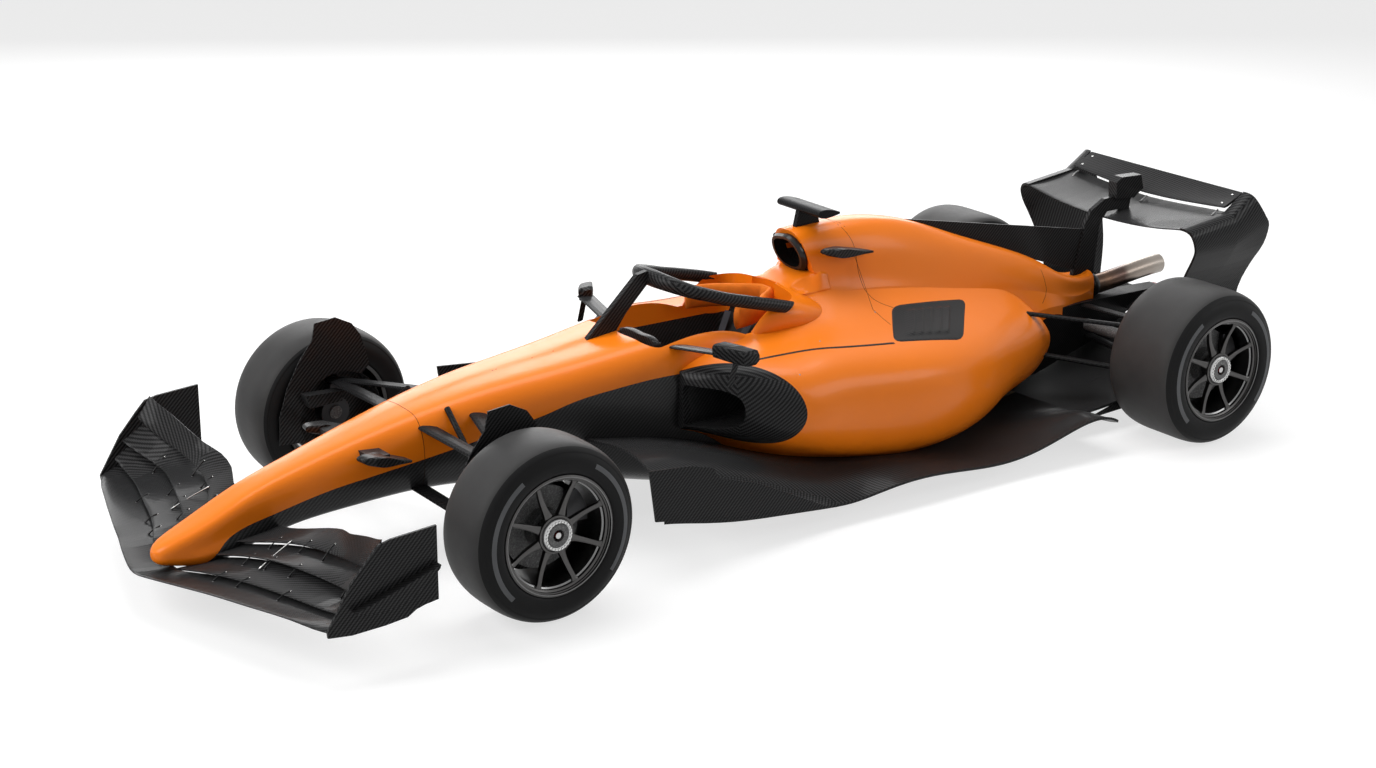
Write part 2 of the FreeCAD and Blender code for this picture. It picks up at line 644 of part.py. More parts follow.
def plain_cover():
    """The cover's loft with its front cut back to the slanted airbox mouth."""
    notch = side_plate(NOTCH_SHARES, -HALF_WIDTH, 2 * HALF_WIDTH)
    return loft([cover_wire(*row) for row in COVER_SHARES]).cut(notch)


def ports():
    """Openings under the airbox: one through both sides and a pocket in front, with a post between them."""
    rear, front, half, low, high = PORT_ROOM_SHARES
    through = side_plate(PORT_SHARES, -HALF_WIDTH, 2 * HALF_WIDTH)
    return through.fuse(block(px(rear), px(front), -py(half), py(half), pz(low), pz(high)))


def power_unit():
    front, rear, half, low, high = POWER_SHARES
    return block(px(rear), px(front), -py(half), py(half), pz(low), pz(high))


# Airbox intake in front of the engine cover
INTAKE_SHARES = (
    (-0.5125, 0.096, 0.872, 1.026),
    (-0.5167, 0.104, 0.862, 1.036),
    (-0.5319, 0.102, 0.864, 1.034),
)
INTAKE_WALL_SHARE = 0.012
INTAKE_DEPTH_SHARE = -0.5889
INTAKE_LEAN_SHARE = 0.4
OVAL_CORNER_SHARE = 0.74


def oval(x, half, low, high):
    """Rounded opening across the car that leans forward towards its top."""
    middle, rise = (low + high) / 2, (high - low) / 2
    corner = OVAL_CORNER_SHARE
    places = ((0, 1), (corner, corner), (1, 0), (corner, -corner), (0, -1), (-corner, -corner), (-1, 0),
              (-corner, corner))
    return closed_spline([
        Vector(x + INTAKE_LEAN_SHARE * rise * up, half * across, middle + rise * up) for across, up in places
    ])


def intake():
    """Ring of the airbox mouth, and the blind duct behind it that is cut from the cover."""
    outer, inner = [], []
    wall = pz(INTAKE_WALL_SHARE)
    for x, half, low, high in INTAKE_SHARES:
        outer.append(oval(px(x), py(half), pz(low), pz(high)))
        inner.append(oval(px(x), py(half) - wall, pz(low) + wall, pz(high) - wall))
    x, half, low, high = INTAKE_SHARES[-1]
    back = oval(px(INTAKE_DEPTH_SHARE), py(half) - wall, pz(low) + wall, pz(high) - wall)
    duct = loft(inner + [back], True)
    return loft(outer, True), duct


# Inlets: carbon front of the sidepods, outer half sections like the flank's
INLET_SHARES = (
    (-0.2944, ((0.10, 0.62), (0.20, 0.625), (0.26, 0.625), (0.30, 0.62), (0.33, 0.60), (0.345, 0.56),
               (0.35, 0.49), (0.345, 0.43), (0.33, 0.395), (0.29, 0.375), (0.22, 0.365), (0.10, 0.36))),
    (-0.3222, ((0.10, 0.67), (0.24, 0.668), (0.33, 0.668), (0.42, 0.662), (0.475, 0.64), (0.505, 0.59),
               (0.512, 0.50), (0.50, 0.43), (0.47, 0.385), (0.40, 0.36), (0.28, 0.335), (0.10, 0.32))),
    (-0.3556, ((0.10, 0.70), (0.25, 0.695), (0.36, 0.69), (0.47, 0.678), (0.55, 0.65), (0.60, 0.595),
               (0.615, 0.50), (0.60, 0.41), (0.555, 0.355), (0.46, 0.315), (0.32, 0.27), (0.10, 0.25))),
)
SPLIT_SHARES = ((-0.2194, 0.0), (-0.4833, 1.0), (-0.1389, 1.0), (-0.1389, 0.0))
MOUTH_SHARES = ((0.325, 0.405), (0.318, 0.49), (0.325, 0.57), (0.39, 0.58), (0.49, 0.577),
                (0.54, 0.55), (0.556, 0.50), (0.545, 0.445), (0.49, 0.412), (0.38, 0.40))
MOUTH_PLACE_SHARES = (-0.2639, -0.3556, -0.4167)
MOUTH_SHRINK_SHARES = (1.0, 1.0, 0.55)


def mouth():
    """The inlet's duct, cut from the carbon front as a blind space that narrows inwards."""
    wires = []
    middle_y = sum(y for y, z in MOUTH_SHARES) / len(MOUTH_SHARES)
    middle_z = sum(z for y, z in MOUTH_SHARES) / len(MOUTH_SHARES)
    for x, shrink in zip(MOUTH_PLACE_SHARES, MOUTH_SHRINK_SHARES):
        ring = [point(x, middle_y + (y - middle_y) * shrink, middle_z + (z - middle_z) * shrink)
                for y, z in MOUTH_SHARES]
        wires.append(closed_spline(ring))
    return loft(wires, True)


# Floor: heights of its top at fixed places across, one row for each place along
FLOOR_ACROSS_SHARES = (0.13, 0.20, 0.28, 0.42, 0.56, 0.68, 0.76, 0.80)
FLOOR_SHARES = (
    (-0.1722, (0.40, 0.40, 0.41, 0.43, 0.44, 0.41, 0.34, 0.22)),
    (-0.2222, (0.37, 0.37, 0.38, 0.40, 0.41, 0.375, 0.30, 0.185)),
    (-0.2778, (0.33, 0.33, 0.34, 0.36, 0.37, 0.335, 0.25, 0.15)),
    (-0.3611, (0.23, 0.23, 0.25, 0.27, 0.28, 0.245, 0.18, 0.12)),
    (-0.4444, (0.14, 0.14, 0.165, 0.19, 0.195, 0.175, 0.13, 0.10)),
    (-0.5556, (0.085, 0.09, 0.10, 0.12, 0.15, 0.155, 0.135, 0.128)),
    (-0.6389, (0.085, 0.088, 0.095, 0.10, 0.105, 0.105, 0.104, 0.104)),
    (-0.7500, (0.09, 0.09, 0.095, 0.10, 0.11, 0.118, 0.122, 0.124)),
    (-0.8750, (0.10, 0.10, 0.105, 0.11, 0.12, 0.135, 0.145, 0.155)),
)
FENCE_SHARES = (
    (-0.1514, 0.445), (-0.1611, 0.226), (-0.2500, 0.175), (-0.3486, 0.115), (-0.4056, 0.102),
    (-0.3475, 0.205), (-0.2975, 0.291), (-0.2456, 0.345), (-0.2389, 0.396), (-0.2056, 0.428),
)
DIFFUSER_ACROSS_SHARES = (0, 0.15, 0.30, 0.45, 0.565)
DIFFUSER_SHARES = (
    (-0.8750, (0.10, 0.10, 0.105, 0.112, 0.122)),
    (-0.9444, (0.125, 0.125, 0.13, 0.135, 0.14)),
    (-1.0278, (0.195, 0.195, 0.20, 0.20, 0.20)),
    (-1.1167, (0.31, 0.31, 0.315, 0.315, 0.315)),
)
DIFFUSER_FENCE_SHARES = ((-0.8889, 0.08), (-1.1167, 0.12), (-1.1194, 0.305), (-1.0278, 0.19), (-0.9444, 0.13))
STRAKE_PLACE_SHARES = (0.30, 0.555)
PLANK_SHARES = (-0.3472, -0.8750, 0.13, 0.04, 0.10)


def sheet_wire(x_share, across_shares, height_shares):
    """Section of a thin sheet across one side of the car, or the whole car where it starts at the middle."""
    top = [point(x_share, y, z) for y, z in zip(across_shares, height_shares)]
    if across_shares[0] == 0:
        top = [Vector(p.x, -p.y, p.z) for p in reversed(top[1:])] + top
    low = [Vector(p.x, p.y, p.z - SKIN) for p in reversed(top)]
    edge = Part.makeLine(top[-1], low[0])
    other = Part.makeLine(low[-1], top[0])
    return Part.Wire([open_spline(top), edge, open_spline(low), other])


def floor():
    sheet = loft([sheet_wire(x, FLOOR_ACROSS_SHARES, heights) for x, heights in FLOOR_SHARES])
    y = py(FLOOR_ACROSS_SHARES[-1]) - FENCE_THICKNESS
    return sheet.fuse(side_plate(FENCE_SHARES, y, FENCE_THICKNESS))


def diffuser():
    sheet = loft([sheet_wire(x, DIFFUSER_ACROSS_SHARES, heights) for x, heights in DIFFUSER_SHARES])
    plates = [both_sides(side_plate(DIFFUSER_FENCE_SHARES, py(y),
                                    FENCE_THICKNESS)) for y in STRAKE_PLACE_SHARES]
    return sheet.multiFuse(plates)


# Front wing: y, then x and z of the leading edge of each of its four elements and of the last trailing edge
FRONT_WING_SHARES = (
    (0.07, (0.3494, 0.175), (0.3125, 0.175), (0.2736, 0.200), (0.2500, 0.235), (0.1972, 0.262)),
    (0.20, (0.3394, 0.185), (0.3022, 0.199), (0.2653, 0.236), (0.2383, 0.268), (0.1958, 0.290)),
    (0.30, (0.3303, 0.191), (0.2897, 0.204), (0.2553, 0.254), (0.2228, 0.286), (0.1917, 0.317)),
    (0.40, (0.3228, 0.200), (0.2797, 0.208), (0.2469, 0.266), (0.2117, 0.299), (0.1800, 0.343)),
    (0.50, (0.3142, 0.204), (0.2719, 0.212), (0.2386, 0.269), (0.2044, 0.306), (0.1783, 0.369)),
    (0.60, (0.3056, 0.207), (0.2642, 0.214), (0.2297, 0.265), (0.2008, 0.313), (0.1856, 0.392)),
    (0.70, (0.2964, 0.210), (0.2556, 0.212), (0.2222, 0.258), (0.2017, 0.328), (0.1917, 0.425)),
    (0.80, (0.2872, 0.211), (0.2492, 0.213), (0.2214, 0.264), (0.2069, 0.352), (0.1958, 0.455)),
    (0.90, (0.2756, 0.200), (0.2481, 0.232), (0.2328, 0.300), (0.2153, 0.388), (0.2006, 0.482)),
    (0.955, (0.2683, 0.197), (0.2508, 0.258), (0.2400, 0.327), (0.2194, 0.415), (0.2042, 0.502)),
)
FRONT_CENTRE_SHARES = (0.0, (0.3514, 0.168), (0.3139, 0.170))
ENDPLATE_SHARES = (
    (0.2681, 0.178), (0.2689, 0.20), (0.2428, 0.355), (0.2222, 0.44), (0.2097, 0.487), (0.1944, 0.499),
    (0.1431, 0.512), (0.1417, 0.222), (0.1575, 0.214), (0.1678, 0.204), (0.1778, 0.182), (0.2039,
                                                                                          0.172), (0.2417,
                                                                                                   0.167),
)
DIVE_SHARES = ((0.2422, 0.263), (0.1917, 0.316), (0.1439, 0.370), (0.1453, 0.356), (0.1636, 0.298),
               (0.1894, 0.251),
               (0.2150, 0.241), (0.2400, 0.257))
CAMBER_SHARE = 0.045


def wing_from_shares(rows, thickness, camber_share, steps=WING_STEPS):
    measured = [(py(y), px(nx), pz(nz), px(tx), pz(tz)) for y, nx, nz, tx, tz in rows]
    return wing(measured, thickness, camber_share, steps)


def front_rows(element, slotted):
    """Nose and tail of one element across the left side; a slotted tail tucks in under the next nose."""
    rows = []
    for y, *edges in FRONT_WING_SHARES:
        (nx, nz), (tx, tz) = edges[element], edges[element + 1]
        if slotted:
            rows.append((py(y), px(nx), pz(nz), px(tx) - SLOT_OVERLAP, pz(tz) - SLOT_STEP))
        else:
            rows.append((py(y), px(nx), pz(nz), px(tx), pz(tz)))
    return rows


def front_main_plane():
    y, (nx, nz), (tx, tz) = FRONT_CENTRE_SHARES
    left = front_rows(0, True)
    right = [(-row[0],) + row[1:] for row in reversed(left)]
    centre = (py(y), px(nx), pz(nz), px(tx) - SLOT_OVERLAP, pz(tz) - SLOT_STEP)
    return wing(right + [centre] + left, WING_THICKNESS, CAMBER_SHARE)


def front_flaps():
    last = len(FRONT_WING_SHARES[0]) - 3
    flaps = []
    for number in range(1, last + 1):
        flaps.append(wing(front_rows(number, number < last), WING_THICKNESS, CAMBER_SHARE))
    return flaps


def endplate():
    y = py(FRONT_WING_SHARES[-1][0])
    plate = side_plate(ENDPLATE_SHARES, y, ENDPLATE_THICKNESS)
    reach = HALF_WIDTH - y - ENDPLATE_THICKNESS
    return plate.fuse(side_plate(DIVE_SHARES, y + ENDPLATE_THICKNESS, reach))


# Rear wing rows like the front wing's
REAR_MAIN_SHARES = (
    (0.0, -1.0500, 0.835, -1.1389, 0.891),
    (0.20, -1.0500, 0.842, -1.1389, 0.900),
    (0.35, -1.0500, 0.858, -1.1389, 0.911),
    (0.45, -1.0500, 0.875, -1.1389, 0.918),
    (0.5047, -1.0506, 0.883, -1.1375, 0.922),
)
REAR_FLAP_SHARES = (
    (0.0, -1.1311, 0.915, -1.1667, 1.003),
    (0.25, -1.1311, 0.926, -1.1667, 1.003),
    (0.498, -1.1328, 0.946, -1.1667, 1.003),
)
REAR_TIP_SHARES = (
    (0.505, (-1.0506, 0.892), (-1.1325, 0.928), (-1.1667, 1.009)),
    (0.54, (-1.0514, 0.889), (-1.1333, 0.926), (-1.1678, 1.007)),
    (0.566, (-1.0536, 0.874), (-1.1347, 0.911), (-1.1714, 0.990)),
    (0.581, (-1.0556, 0.848), (-1.1361, 0.880), (-1.1792, 0.948)),
    (0.584, (-1.0589, 0.812), (-1.1375, 0.834), (-1.1903, 0.895)),
    (0.577, (-1.0625, 0.775), (-1.1389, 0.784), (-1.2000, 0.845)),
    (0.548, (-1.0661, 0.720), (-1.1389, 0.722), (-1.2014, 0.745)),
    (0.498, (-1.0694, 0.630), (-1.1361, 0.630), (-1.1944, 0.640)),
    (0.458, (-1.0728, 0.520), (-1.1333, 0.520), (-1.1875, 0.520)),
    (0.442, (-1.0764, 0.340), (-1.1306, 0.340), (-1.1806, 0.340)),
)
REAR_TIP_LEANS = (0, 22, 48, 74, 92, 103, 117, 113, 101, 95)
FLAP_PIVOT_SHARES = (-1.1528, 0.973)
BEAM_SHARES = (
    (0.03, -1.0917, 0.37, -1.1389, 0.43),
    (0.30, -1.0917, 0.37, -1.1389, 0.43),
    (0.426, -1.0944, 0.385, -1.1417, 0.445),
)
PYLON_SHARES = (
    (-1.0000, 0.56), (-1.0181, 0.82), (-1.0294, 0.881), (-1.0525, 0.924), (-1.0722, 0.93),
    (-1.1028, 0.93), (-1.0972, 0.83), (-1.0794, 0.86), (-1.0583, 0.86), (-1.0450, 0.809), (-1.0389, 0.54),
)
POD_SHARES = ((-1.0694, 0.92), (-1.0678, 0.999), (-1.0775, 1.022), (-1.1139, 1.018), (-1.1194, 0.95),
              (-1.1028, 0.91))
PYLON_HALF_SHARE = 0.011
POD_HALF_SHARE = 0.027


def rear_main_plane():
    right = [(-row[0],) + row[1:] for row in reversed(REAR_MAIN_SHARES[1:])]
    return wing_from_shares(right + list(REAR_MAIN_SHARES), REAR_WING_THICKNESS, CAMBER_SHARE)


def rear_tip():
    """End plate whose top rolls over into the wing: a sheet of rows that lean further and further outwards."""
    rows = [(y, lean) + sum(outline, ()) for (y, *outline), lean in zip(REAR_TIP_SHARES, REAR_TIP_LEANS)]
    wires = []
    for y, lean, *outline in spread(rows, REAR_TIP_STEPS):
        turn = math.radians(lean)
        inwards = Vector(0, -math.sin(turn), -math.cos(turn)) * REAR_PLATE_THICKNESS
        outside = [point(x, y, z) for x, z in zip(outline[::2], outline[1::2])]
        wires.append(polygon(outside + [p + inwards for p in reversed(outside)]))
    return loft(wires, True)


def rear_flap():
    right = [(-row[0],) + row[1:] for row in reversed(REAR_FLAP_SHARES[1:])]
    flap = wing_from_shares(right + list(REAR_FLAP_SHARES), WING_THICKNESS, CAMBER_SHARE)
    x, z = px(FLAP_PIVOT_SHARES[0]), pz(FLAP_PIVOT_SHARES[1])
    reach = py(REAR_TIP_SHARES[0][0]) - SEAT_GAP
    pin = Part.makeCylinder(FLAP_PIN_RADIUS, 2 * reach, Vector(x, -reach, z), Vector(0, 1, 0))
    middle = Part.makeCylinder(2 * FLAP_PIN_RADIUS, 2 * (reach - FLAP_PIN_LENGTH),
                               Vector(x, FLAP_PIN_LENGTH - reach, z), Vector(0, 1, 0))
    return flap.fuse(pin.cut(middle))


def pylon():
    neck = side_plate(PYLON_SHARES, -py(PYLON_HALF_SHARE), 2 * py(PYLON_HALF_SHARE))
    pod = side_plate(POD_SHARES, -py(POD_HALF_SHARE), 2 * py(POD_HALF_SHARE))
    return neck.fuse(pod)


# Tail: gearbox, crash structure, exhaust and lamp
GEARBOX_SHARES = (
    (-0.8056, 0.14, 0.13, 0.50),
    (-0.9167, 0.11, 0.16, 0.46),
    (-1.0333, 0.085, 0.26, 0.455),
    (-1.0972, 0.055, 0.35, 0.44),
    (-1.1667, 0.045, 0.365, 0.435),
)
LAMP_SHARES = (-1.1667, -1.1736, 0.04, 0.37, 0.43)
EXHAUST_SHARES = ((-1.0167, 0.500), (-1.0694, 0.506), (-1.1250, 0.53), (-1.1667, 0.541))


def gearbox():
    wires = []
    for x, half, low, high in GEARBOX_SHARES:
        corners = ((-half, low), (half, low), (half, high), (-half, high))
        wires.append(polygon([point(x, y, z) for y, z in corners]))
    return loft(wires, True)


def tail_tube(radius):
    rings = [Part.Wire([Part.makeCircle(radius, point(x, 0, z), Vector(-1, 0, 0))]) for x,
             z in EXHAUST_SHARES]
    return loft(rings)


def exhaust():
    return tail_tube(EXHAUST_RADIUS).cut(tail_tube(EXHAUST_RADIUS - EXHAUST_WALL))


# Halo, mirrors, seat and steering wheel
HALO_SHARES = (
    (-0.3117, 0.0, 0.948, 1.35), (-0.3125, 0.06, 0.947, 1.3), (-0.3167, 0.12, 0.941, 1.2),
    (-0.3306, 0.182, 0.922, 1.08), (-0.3500, 0.222, 0.902, 1.0), (-0.3708, 0.242, 0.879, 1.0),
    (-0.3944, 0.256, 0.858, 1.0), (-0.4167, 0.265, 0.838, 1.0), (-0.4389, 0.27, 0.818, 1.0),
    (-0.4722, 0.272, 0.785, 1.0),
)
HALO_END_SHARES = ((-0.4403, 0.70), (-0.4403, 0.757), (-0.4722, 0.845), (-0.5278, 0.845), (-0.5278, 0.70))
HALO_STAY_SHARES = (
    (-0.2083, 0.70), (-0.2889, 0.975), (-0.3028, 0.985), (-0.3097, 0.95), (-0.2944, 0.895), (-0.2736, 0.82),
    (-0.2603, 0.755), (-0.2597, 0.70),
)
MIRROR_SHARES = (
    (0.470, -0.3042, -0.3172, 0.745, 0.778),
    (0.485, -0.3000, -0.3217, 0.730, 0.790),
    (0.545, -0.3111, -0.3325, 0.716, 0.783),
    (0.596, -0.3217, -0.3422, 0.706, 0.772),
    (0.610, -0.3278, -0.3411, 0.722, 0.758),
)
MIRROR_CORNER_SHARE = 0.86
MIRROR_BLADE_SHARES = ((-0.2958, 0.23, 0.720), (-0.3117, 0.50, 0.748))
MIRROR_STAY_SHARES = ((-0.3139, 0.545, 0.62), (-0.3222, 0.55, 0.735))
SEAT_SHARES = ((-0.3056, 0.30), (-0.3944, 0.30), (-0.4444, 0.52), (-0.4722, 0.74), (-0.4611, 0.74),
               (-0.4278, 0.50),
               (-0.3889, 0.33), (-0.3056, 0.35))
SEAT_HALF_SHARE = 0.13
WHEEL_OUTLINE_SHARES = (
    (0.40, 0.97), (0.78, 0.92), (0.95, 0.66), (1.0, 0.20), (0.93, -0.30), (0.98, -0.72), (0.90, -1.0),
    (0.72, -0.96), (0.63, -0.52), (0.44, -0.70), (0.20, -0.76),
)
WHEEL_CENTRE_SHARES = (-0.3000, 0.0, 0.655)
COLUMN_START_SHARE = -0.2222


def halo_ring(centre, along, size):
    """Oval section of the halo's bar, square to its path."""
    across = along.cross(UP).normalize()
    rise = across.cross(along)
    ring = []
    for step in range(HALO_SIDES):
        turn = 2 * math.pi * step / HALO_SIDES
        sideways = across * (HALO_RADIUS * math.cos(turn))
        upwards = rise * (HALO_RISE * math.sin(turn))
        ring.append(centre + (sideways + upwards) * size)
    return polygon(ring)


def halo():
    """Bar in one loop about the head, fuller towards the front, on one stay before the driver."""
    left = list(HALO_SHARES)
    rows = spread([(x, -y, z, size) for x, y, z, size in reversed(left[1:])] + left, HALO_STEPS)
    centres = [point(x, y, z) for x, y, z, size in rows]
    befores = [centres[0]] + centres[:-1]
    afters = centres[1:] + [centres[-1]]
    rings = [
        halo_ring(centre, (after - before).normalize(), row[3])
        for before, centre, after, row in zip(befores, centres, afters, rows)
    ]
    loop = loft(rings, True).cut(side_plate(HALO_END_SHARES, -HALF_WIDTH, 2 * HALF_WIDTH))
    stay = side_plate(HALO_STAY_SHARES, -HALO_STAY_THICKNESS / 2, HALO_STAY_THICKNESS)
    return loop.fuse(stay)


def mirror_left():
    """Swept mirror body on a broad blade from the hull and a thin stay from the sidepod."""
    wires = []
    corner = MIRROR_CORNER_SHARE
    turns = ((1, 0), (corner, corner), (0, 1), (-corner, corner), (-1, 0), (-corner, -corner), (0, -1),
             (corner, -corner))
    for y, front, rear, low, high in MIRROR_SHARES:
        centre = point((front + rear) / 2, y, (low + high) / 2)
        reach, rise = px(front - rear) / 2, pz(high - low) / 2
        wires.append(closed_spline([centre + Vector(reach * a, 0, rise * b) for a, b in turns]))
    blade = arm(*(point(*place) for place in MIRROR_BLADE_SHARES), MIRROR_BLADE_CHORD, MIRROR_BLADE_THICKNESS)
    stay = arm(*(point(*place) for place in MIRROR_STAY_SHARES), MIRROR_ARM_CHORD, MIRROR_ARM_THICKNESS)
    return loft(wires, True).fuse(blade).fuse(stay)


def seat():
    return side_plate(SEAT_SHARES, -py(SEAT_HALF_SHARE), 2 * py(SEAT_HALF_SHARE))


def steering_wheel():
    """Yoke shaped plate with a grip on each side, on its column."""
    centre = point(*WHEEL_CENTRE_SHARES)
    half = [(y * WHEEL_HALF_WIDTH, z * WHEEL_HALF_HEIGHT) for y, z in WHEEL_OUTLINE_SHARES]
    outline = half + [(-y, z) for y, z in reversed(half)]
    plate = extruded([centre + Vector(0, y, z) for y, z in outline], Vector(WHEEL_THICKNESS, 0, 0))
    start = px(COLUMN_START_SHARE)
    column = Part.makeCylinder(COLUMN_RADIUS, start - centre.x, centre, Vector(1, 0, 0))
    return plate.fuse(column)


# Suspension: root and wheel end of each arm as x, y, z shares
FRONT_ARM_SHARES = (
    ((0.0208, 0.15, 0.562), (0.0000, 0.742, 0.503)),
    ((-0.0417, 0.15, 0.59), (0.0000, 0.742, 0.503)),
    ((0.0333, 0.12, 0.325), (0.0000, 0.742, 0.217)),
    ((-0.0917, 0.16, 0.29), (0.0000, 0.742, 0.217)),
)
PUSH_ROD_SHARES = ((-0.0069, 0.15, 0.62), (0.0000, 0.66, 0.235))
REAR_ARM_SHARES = (
    ((-0.8333, 0.12, 0.53), (-0.9958, 0.68, 0.47)),
    ((-1.0056, 0.05, 0.44), (-1.0042, 0.68, 0.47)),
    ((-0.8556, 0.12, 0.33), (-0.9958, 0.68, 0.25)),
    ((-1.0167, 0.05, 0.29), (-1.0042, 0.68, 0.25)),
)


def end_ring(place):
    """Eye of a wishbone round the steering pin."""
    low = Vector(place.x, place.y, place.z - EYE_HEIGHT / 2)
    outer = Part.makeCylinder(EYE_RADIUS, EYE_HEIGHT, low)
    return outer, Part.makeCylinder(PIN_RADIUS + PIN_GAP, EYE_HEIGHT, low)


def front_suspension():
    pieces, holes = [], []
    for root, wheel_end in FRONT_ARM_SHARES:
        place = point(*wheel_end)
        pieces.append(arm(point(*root), place, FRONT_ARM_CHORD, ARM_THICKNESS))
        eye, hole = end_ring(place)
        pieces.append(eye)
        holes.append(hole)
    start, end = (point(*place) for place in PUSH_ROD_SHARES)
    pieces.append(pipe_straight(start, end, ROD_RADIUS))
    return pieces[0].multiFuse(pieces[1:]).cut(holes[0].multiFuse(holes[1:]))


def pipe_straight(start, end, radius):
    return Part.makeCylinder(radius, (end - start).Length, start, end - start)


def rear_suspension():
    pieces = [arm(point(*a), point(*b), REAR_ARM_CHORD, ARM_THICKNESS) for a, b in REAR_ARM_SHARES]
    return Part.makeCompound(pieces)


# Small pods and the camera on its mast; pods are short wings with rows like the rear wing's
NOSE_POD_SHARES = (
    (0.192, 0.1014, 0.506, 0.0736, 0.488),
    (0.205, 0.1153, 0.514, 0.0569, 0.474),
    (0.250, 0.1125, 0.512, 0.0542, 0.472),
    (0.263, 0.1000, 0.502, 0.0667, 0.482),
)
NOSE_STALK_SHARES = ((0.1000, 0.512), (0.0778, 0.512), (0.0778, 0.495), (0.1000, 0.495))
COVER_POD_SHARES = (
    (0.138, -0.5431, 0.970, -0.5819, 0.955),
    (0.152, -0.5306, 0.978, -0.6069, 0.942),
    (0.180, -0.5306, 0.978, -0.6083, 0.942),
    (0.195, -0.5444, 0.968, -0.5903, 0.950),
)
COVER_STALK_SHARES = ((-0.5528, 0.972), (-0.5806, 0.958), (-0.5806, 0.945), (-0.5528, 0.957))
MAST_SHARES = ((-0.5214, 1.03), (-0.5278, 1.13), (-0.5556, 1.125), (-0.5619, 1.03))
MAST_HALF_SHARE = 0.012
CAMERA_SHARES = ((0.0, -0.5278, 1.140, -0.5611, 1.134), (0.144, -0.5278, 1.140, -0.5611, 1.134))


def camera_mast():
    mast = side_plate(MAST_SHARES, -py(MAST_HALF_SHARE), 2 * py(MAST_HALF_SHARE))
    right = [(-row[0],) + row[1:] for row in reversed(CAMERA_SHARES[1:])]
    bar = wing_from_shares(right + list(CAMERA_SHARES), CAMERA_THICKNESS, 0)
    return mast.fuse(bar)


def pod(rows, stalk_shares):
    """A wing shaped pod on the left with its stalk towards the body."""
    body = wing_from_shares(rows, POD_THICKNESS, 0, 1)
    return body.fuse(side_plate(stalk_shares, 0, py((rows[0][0] + rows[-1][0]) / 2)))


def save(name, shape):
    moved = shape.copy()
    moved.translate(Vector(FRONT_AXLE_X, 0, 0))
    moved.exportStep(os.path.join("parts", name + ".step"))


def wheel_set(axle, axle_x, width, inner_y):
    pieces = {"tyre": tyre(axle_x, width), "rim": rim(axle_x, width), "hub": hub(axle_x, inner_y)}
    for name, piece in pieces.items():
        save(name + "_" + axle + "_left", piece)
        save(name + "_" + axle + "_right", mirrored(piece))


def seated(piece, seat_shape):
    """Cuts a left hand piece back from what it stands on, and leaves the seating gap to the side and above."""
    for step in (Vector(0, 0, 0), Vector(0, HULL_GAP, 0), Vector(0, 0, HULL_GAP)):
        moved = seat_shape.copy()
        moved.translate(step)
        piece = piece.cut(moved)
    return piece


def apart(piece, neighbour):
    """Cuts a left hand piece back from a neighbour further in, and leaves the gap between body panels."""
    moved = neighbour.copy()
    moved.translate(Vector(0, BODY_GAP, 0))
    raised = neighbour.copy()
    raised.translate(Vector(0, BODY_GAP / 2, BODY_GAP / 2))
    return piece.cut(neighbour).cut(moved).cut(raised)


